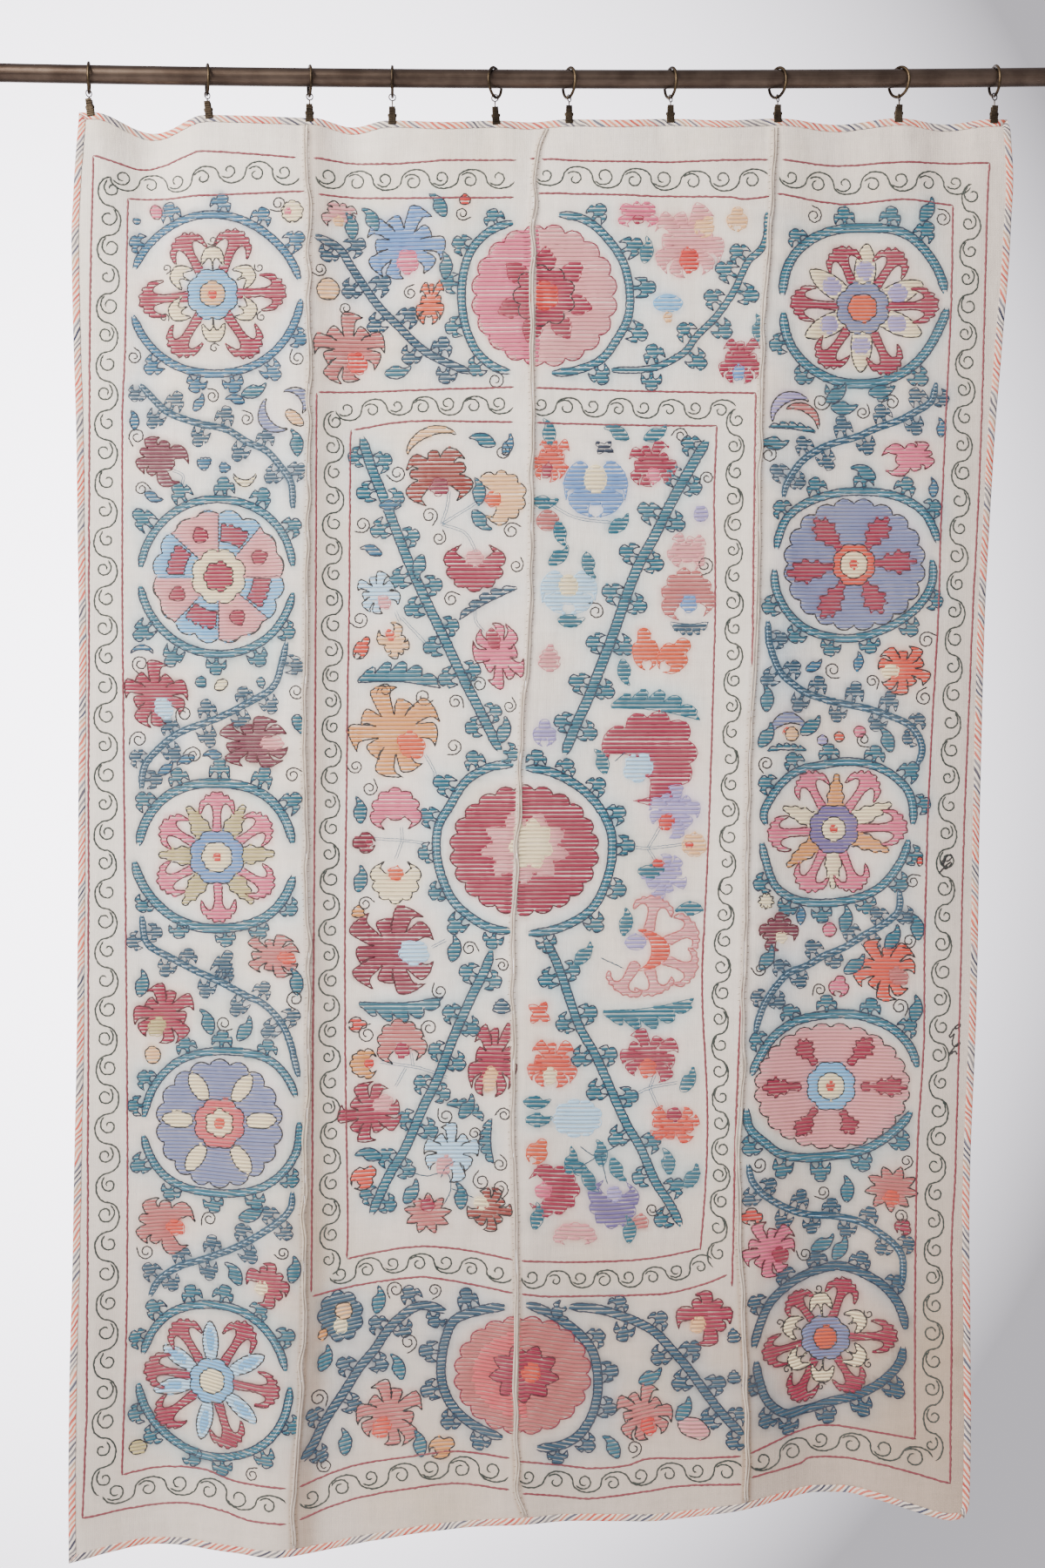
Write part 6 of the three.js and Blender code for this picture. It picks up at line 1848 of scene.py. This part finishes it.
# %% Make the silk
total = 0
for silk in SILKS:
    parts = [
        ribbon_mesh(runs, height)
        for runs, height in ((row_runs(silk), 0.6), (stem_runs(silk), 0.75)) if runs
    ]
    if not parts:
        continue
    points, quads = joined([(p, q) for p, q, _ in parts])
    uv = np.vstack([u for _, _, u in parts])
    thread = mesh_piece(f"silk_{silk}", points, quads, silk_materials[silk], uv, "Stitch")
    triangles = sum(len(face.vertices) - 2 for face in thread.data.polygons)
    total += triangles
    print(thread.name, triangles, "triangles")
print("silk triangles in all:", total)

# %% [markdown]
# ## The bias tape
# The tape is folded over the raw edge, with a flap on each face, and its sides meet in mitred
# corners. It is a section swept along pairs of points, one on the edge and one a tape's width
# inside it. The flap is a little fuller in its middle, as a turned-in tape is, and its inner
# edge is drawn in at each hand stitch.

# %% Sew the tape round
def bar_faces(stations, around, cap):
    """Faces of a closed bar: its sides, and the faces of its first end as cap lists them."""
    at = np.arange(stations * around).reshape(-1, around)
    nxt = np.roll(at, -1, axis=1)
    sides = np.stack([at[:-1], nxt[:-1], nxt[1:], at[1:]], -1).reshape(-1, 4)
    return np.vstack([sides, at[0][np.array(cap)], at[-1][np.array(cap)][:, ::-1]])


FLAP, SKIN, FULL = 1.05, 1.85, 0.35  # from the cloth's middle to the flap's inside and outside
# Across the folded tape: how far in from the edge, and how far to the front.
FRONT = [(TAPE_WIDTH, FLAP), (TAPE_WIDTH, SKIN - 0.25), (TAPE_WIDTH - 0.7, SKIN),
         (TAPE_WIDTH * 0.5, SKIN + FULL), (1.0, SKIN + 0.05), (0.1, SKIN - 0.5), (-0.25, 0.6)]
INSIDE = [(0.9, -FLAP), (0.9, FLAP)]
SECTION = np.array(FRONT + [(a, -b) for a, b in reversed(FRONT)] + INSIDE)
TAPE_CAP = [[13 - k, 12 - k, k + 1, k] for k in range(6)] + [[0, 13, 14, 15]]


def sweep_tape(name, outer, inner, node, material, slope_from):
    """A closed tape along outer and inner edge points, given as (x, z) rows."""
    inwards, forwards = SECTION.T
    along = np.concatenate([[0], np.cumsum(np.hypot(*np.diff(outer, axis=0).T))])
    drawn = 0.35 * np.sin(2 * np.pi * along / 8.5) + 0.4 * noise(along, 0, 19, 2)
    share = inwards / TAPE_WIDTH + (drawn[:, None] / TAPE_WIDTH) * (inwards > 7)
    place = outer[:, None, :] + (inner - outer)[:, None, :] * share[..., None]
    x, z = place[..., 0], place[..., 1]
    y = depth_at(x, z) + crinkle(x, z) * (inwards > 3) - forwards
    points = np.stack([x, y, z], -1).reshape(-1, 3)
    around = np.broadcast_to(np.abs(inwards - TAPE_WIDTH), x.shape)
    uv = np.stack([slope_from + along[:, None] + 0 * around, around], -1).reshape(-1, 2)
    faces = bar_faces(len(outer), len(SECTION), TAPE_CAP)
    tape = mesh_piece(name, points, faces, material, uv)
    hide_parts(node)
    return tape, along[-1]


def stations(line, start, stop, count, inwards):
    """Places along an edge and the line's value there, for the tape's outer and inner sides.
    The first and last inner places are mitred."""
    t = np.linspace(start, stop, count)
    keep = (np.abs(t - start) > TAPE_WIDTH + 2) & (np.abs(stop - t) > TAPE_WIDTH + 2)
    keep[[0, -1]] = True
    way = np.sign(stop - start)
    outer, inner = t[keep], t[keep]
    for side, cut in ((outer, 0.3), (inner, TAPE_WIDTH)):
        side[0] += cut * way
        side[-1] -= cut * way
    return (outer, line(outer)), (inner, line(inner) + inwards * TAPE_WIDTH)


def edge_across(height, inwards):
    """Outer and inner points of the tape along the top or the hem."""
    left, right = -615.0, 610.0
    for _ in range(5):
        left, right = float(upright(0, height(left))), float(upright(4, height(right)))
    return [np.stack(side, -1) for side in stations(height, left, right, 260, inwards)]


def edge_upright(k, inwards):
    """Outer and inner points of the tape down the left or the right edge."""
    top = float(top_edge(float(upright(k, -60.0))))
    hem = float(hem_edge(float(upright(k, -2000.0))))
    sides = stations(lambda z: upright(k, z), top, hem, 400, inwards)
    return [np.stack(side[::-1], -1) for side in sides]


TAPES = [
    ("tape_top", edge_across(top_edge, -1), "binding_top", tape_across, 0),
    ("tape_hem", edge_across(hem_edge, 1), "binding_bottom", tape_across, 31),
    ("tape_left", edge_upright(0, 1), "binding_left", tape_up, 12),
    ("tape_right", edge_upright(4, -1), "binding_right", tape_up, 50),
]
for name, (outer, inner), node, material, start in TAPES:
    tape, length = sweep_tape(name, outer, inner, node, material, start)
    print(name, round(length), "mm long")

# %% [markdown]
# ## The rod
# The CAD rod has flat facets, so a finer one stands in for it, on the same axis. The real rod
# runs on to its brackets outside the cloth, and its cut ends are lightly rounded.

# %% Turn the rod
def swept_round(path, radius, sides):
    """A round bar along a path of (x, y, z), with radius given at each point."""
    path = np.asarray(path, float)
    radius = np.broadcast_to(radius, len(path))
    tangent = np.gradient(path, axis=0)
    tangent /= np.linalg.norm(tangent, axis=1, keepdims=True)
    guide = np.array([0.0, 1.0, 0.0])
    if np.max(np.abs(tangent @ guide)) > 0.95:
        guide = np.array([0.13, 0.0, 0.99])
    side = np.cross(tangent, guide)
    side /= np.linalg.norm(side, axis=1, keepdims=True)
    other = np.cross(tangent, side)
    turn = np.linspace(0, 2 * np.pi, sides, endpoint=False)[:, None]
    ring = np.cos(turn) * side[:, None, :] + np.sin(turn) * other[:, None, :]
    points = (path[:, None, :] + radius[:, None, None] * ring).reshape(-1, 3)
    cap = [[sides - 1 - k, sides - 2 - k, k + 1, k] for k in range(sides // 2 - 1)]
    return points, bar_faces(len(path), sides, cap)


ends = np.array([0, 0.15, 0.6, 1.4, 3.0])
x = np.concatenate([-780 + ends, np.linspace(-770, 770, 45), 780 - ends[::-1]])
drop = 1.4 - np.sqrt(np.clip(1.4**2 - (1.4 - np.minimum(780 - np.abs(x), 1.4)) ** 2, 0, None))
rod_path = np.stack([x, 0 * x, rod_height(x)], -1)
rod = mesh_piece("curtain_rod", *swept_round(rod_path, ROD_RADIUS - drop, 64), rod_bronze)
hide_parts("rod")
print("rod length", x[-1] - x[0], "mm")

# %% [markdown]
# ## Rings, eyes and clips
# A ring of brass wire rides on the rod, a small wire eye hangs in it, and the eye's shank holds
# a sprung clip with two corrugated jaws. Each part repeats the CAD part's place and lean, with
# round wire, pressed ridges and soft edges.

# %% Bend the rings and eyes
def turned(points, degrees, axis="z"):
    """Points turned about the z or the y axis."""
    c, s = math.cos(math.radians(degrees)), math.sin(math.radians(degrees))
    if axis == "y":
        return points @ np.array([[c, 0, s], [0, 1, 0], [-s, 0, c]])
    return points @ np.array([[c, s, 0], [-s, c, 0], [0, 0, 1]])


def wire_ring(radius, wire, steps, flatten=1.0):
    """A closed wire ring about the Y axis."""
    a = np.linspace(0, 2 * np.pi, steps, endpoint=False)
    b = np.linspace(0, 2 * np.pi, 14, endpoint=False)[None, :, None]
    out = np.stack([np.cos(a), 0 * a, np.sin(a)], -1)[:, None, :]
    front = np.array([0, 1.0, 0])
    points = out * radius + wire * (out * np.cos(b) + front * flatten * np.sin(b))
    at = np.arange(steps * 14).reshape(steps, 14)
    down, side = np.roll(at, -1, axis=0), np.roll(at, -1, axis=1)
    both = np.roll(down, -1, axis=1)
    return points.reshape(-1, 3), np.stack([at, side, both, down], -1).reshape(-1, 4)


RING_HANG, RING_RADIUS, RING_WIRE = 4.9, 20.0, 2.15
EYE_RADIUS, EYE_WIRE = 4.65, 0.85
EYE_HANG = RING_HANG + RING_RADIUS - RING_WIRE - 0.4 + EYE_RADIUS - EYE_WIRE
for i, (x, hang, ring_turn, eye_turn, lean) in enumerate(CLIPS, 1):
    at = np.array([x, 0, rod_height(x)])
    points, quads = wire_ring(RING_RADIUS, RING_WIRE, 72, 0.92)
    points = turned(points, 90 + ring_turn) + at - [0, 0, RING_HANG]
    ring = mesh_piece(f"brass_ring_{i:02d}", points, quads, ring_brass)
    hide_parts(f"ring_{i:02d}")
    length = hang + 4.5 - EYE_HANG - EYE_RADIUS
    z = -EYE_RADIUS - np.linspace(0, length, 7)
    neck = EYE_WIRE + 0.25 * np.exp(-(((z + EYE_RADIUS + 1.2) / 0.9) ** 2))
    shank = swept_round(np.stack([0 * z, 0 * z, z], -1), neck, 14)
    points, quads = joined([wire_ring(EYE_RADIUS, EYE_WIRE, 36), shank])
    points = turned(points, eye_turn) + at - [0, 0, EYE_HANG]
    eye = mesh_piece(f"wire_eye_{i:02d}", points, quads, ring_brass)
    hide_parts(f"eye_{i:02d}")
print("rings and eyes:", 2 * len(CLIPS))

# %% Press the clips
def pressed_plate(profile, width, thick, taper=1.0):
    """A pressed plate from a side profile of (y, z), drawn out to a width along x."""
    tangent = np.gradient(profile, axis=0)
    tangent /= np.linalg.norm(tangent, axis=1, keepdims=True)
    normal = np.stack([tangent[:, 1], -tangent[:, 0]], -1)[:, None, :]
    x_shares = np.array([-1, -0.96, -0.85, -0.5, 0, 0.5, 0.85, 0.96, 1.0])
    edge = np.array([0.3, 0.12, 0, 0, 0, 0, 0, 0.12, 0.3]) * thick
    x = x_shares * width / 2 * np.linspace(1, taper, len(profile))[:, None]
    skins = []
    for side in (edge, thick - edge):
        place = profile[:, None, :] + normal * side[None, :, None]
        skins.append(np.dstack([x, place]).reshape(-1, 3))
    return np.vstack(skins), sheet_faces(len(profile), len(x_shares))


def clip_parts():
    """The clip's plates, ears, pin and spring, hung from its top at the origin."""
    z = np.linspace(0, -11.5, 30)
    ridge = 0.28 * np.sin(2 * np.pi * z / 3.3) * np.clip((-z - 0.6) / 2, 0, 1)
    grip = np.stack([mix(4.2, 2.85, -z / 11.5) + ridge, z], -1)
    low = np.linspace(-10, -24, 34)
    teeth = 0.22 * np.sin(2 * np.pi * low / 2.9) * np.clip((-low - 13.5) / 1.5, 0, 1)
    jaw = np.stack([mix(2.85, 2.38, np.clip((-low - 10) / 8, 0, 1)) + teeth + 0.22, low], -1)
    parts = []
    for profile, width, taper in ((grip, 8.6, 1.06), (jaw, 10.4, 1.03)):
        points, quads = pressed_plate(profile, width, -1.0, taper)
        parts += [(points, quads), (points * [1, -1, 1], quads[:, ::-1])]
    for side in (-1, 1):  # the ears are oval, and 11 mm under the top as the pin is
        x = side * np.array([5.2, 5.35, 5.8, 5.95])
        points, quads = swept_round(np.stack([x, 0 * x, 0 * x], -1), [0.9, 1.0, 1.0, 0.88], 16)
        parts.append((points * [1, 2.9, 2.4] - [0, 0, 11], quads))
    x = np.array([-6.4, -6.3, -5.9, 5.9, 6.3, 6.4])
    pin_radius = [0.7, 1.2, 1.3, 1.3, 1.2, 0.7]
    parts.append(swept_round(np.stack([x, 0 * x, 0 * x - 11], -1), pin_radius, 18))
    turns = np.linspace(0, 2 * np.pi * 5, 90)
    coil = [-3.6 + turns / turns[-1] * 7.2, 1.75 * np.cos(turns), 1.75 * np.sin(turns) - 11]
    parts.append(swept_round(np.stack(coil, -1), 0.38, 8))
    return [(points, outward(points, quads)) for points, quads in parts]


clip_points, clip_quads = joined(clip_parts())
for i, (x, hang, _, _, lean) in enumerate(CLIPS, 1):
    points = turned(clip_points, lean, "y") + [x, 0, rod_height(x) - hang]
    clip = mesh_piece(f"pressed_clip_{i:02d}", points, clip_quads, clip_bronze)
    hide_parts(f"clip_{i:02d}")
print("faces in a clip:", len(clip_quads))

# %% [markdown]
# ## Floor, light and camera
# The cloth hangs in front of nothing, over a pale floor. One large soft light stands at the
# left and front, as a window does, with a weaker one at the right. The camera looks straight at
# the cloth, level, from three metres away.

# %% Floor, lights and camera
bpy.ops.mesh.primitive_grid_add(x_subdivisions=8, y_subdivisions=8, size=6)
floor = bpy.context.object
floor.name = "studio_floor"
floor.location = (0, -2.4, -2.3)
floor_paint, tree, shader = new_material("pale_studio_floor", Roughness=0.85)
patchy = add_node(tree, "TexNoise", {"Scale": 0.6, "Detail": 3.0})
pale = add_node(tree, "Mix", {"data_type": "RGBA", 0: patchy, 6: linear("#E2E2E7"),
                              7: linear("#E8E8EC")})
plug(tree, shader, Base_Color=pale.outputs[2])
floor.data.materials.append(floor_paint)

world = bpy.data.worlds.new("studio_air")
bpy.context.scene.world = world
world.use_nodes = True
air = world.node_tree
direction = add_node(air, "TexCoord", {}).outputs["Generated"]
towards = add_node(air, "VectorMath", {"operation": "DOT_PRODUCT", 0: direction,
                                       1: (-0.24, 0.97, 0.04)})
glow = add_node(air, "MapRange", {"Value": towards.outputs["Value"], "From Min": 0.86,
                                  "From Max": 1.0, "To Min": 0.78, "To Max": 7.5})
sky = air.nodes["Background"]
sky.inputs["Color"].default_value = linear("#E6E2EA")
plug(air, sky, Strength=glow.outputs[0])


def soft_light(name, place, aim, size, power, colour):
    light = bpy.data.lights.new(name, "AREA")
    light.shape, light.size, light.size_y = "RECTANGLE", size, size
    light.energy, light.color = power, linear(colour)[:3]
    lamp = bpy.data.objects.new(name, light)
    bpy.context.scene.collection.objects.link(lamp)
    lamp.location = place
    lamp.rotation_mode = "QUATERNION"
    lamp.rotation_quaternion = (Vector(place) - Vector(aim)).to_track_quat("Z", "Y")


soft_light("window_light", (-2.6, -2.3, 1.3), (0, 0, -0.8), 2.0, 362, "#FFF9F2")
soft_light("room_light", (2.8, -3.6, -0.6), (0, 0, -1.0), 2.6, 13, "#FFF0E2")

camera = bpy.data.objects.new("camera", bpy.data.cameras.new("camera"))
bpy.context.scene.collection.objects.link(camera)
camera.location = (0, -3.0, -0.971)
camera.rotation_euler = (math.radians(90), 0, 0)
camera.data.lens, camera.data.sensor_width = 50, 36
bpy.context.scene.camera = camera
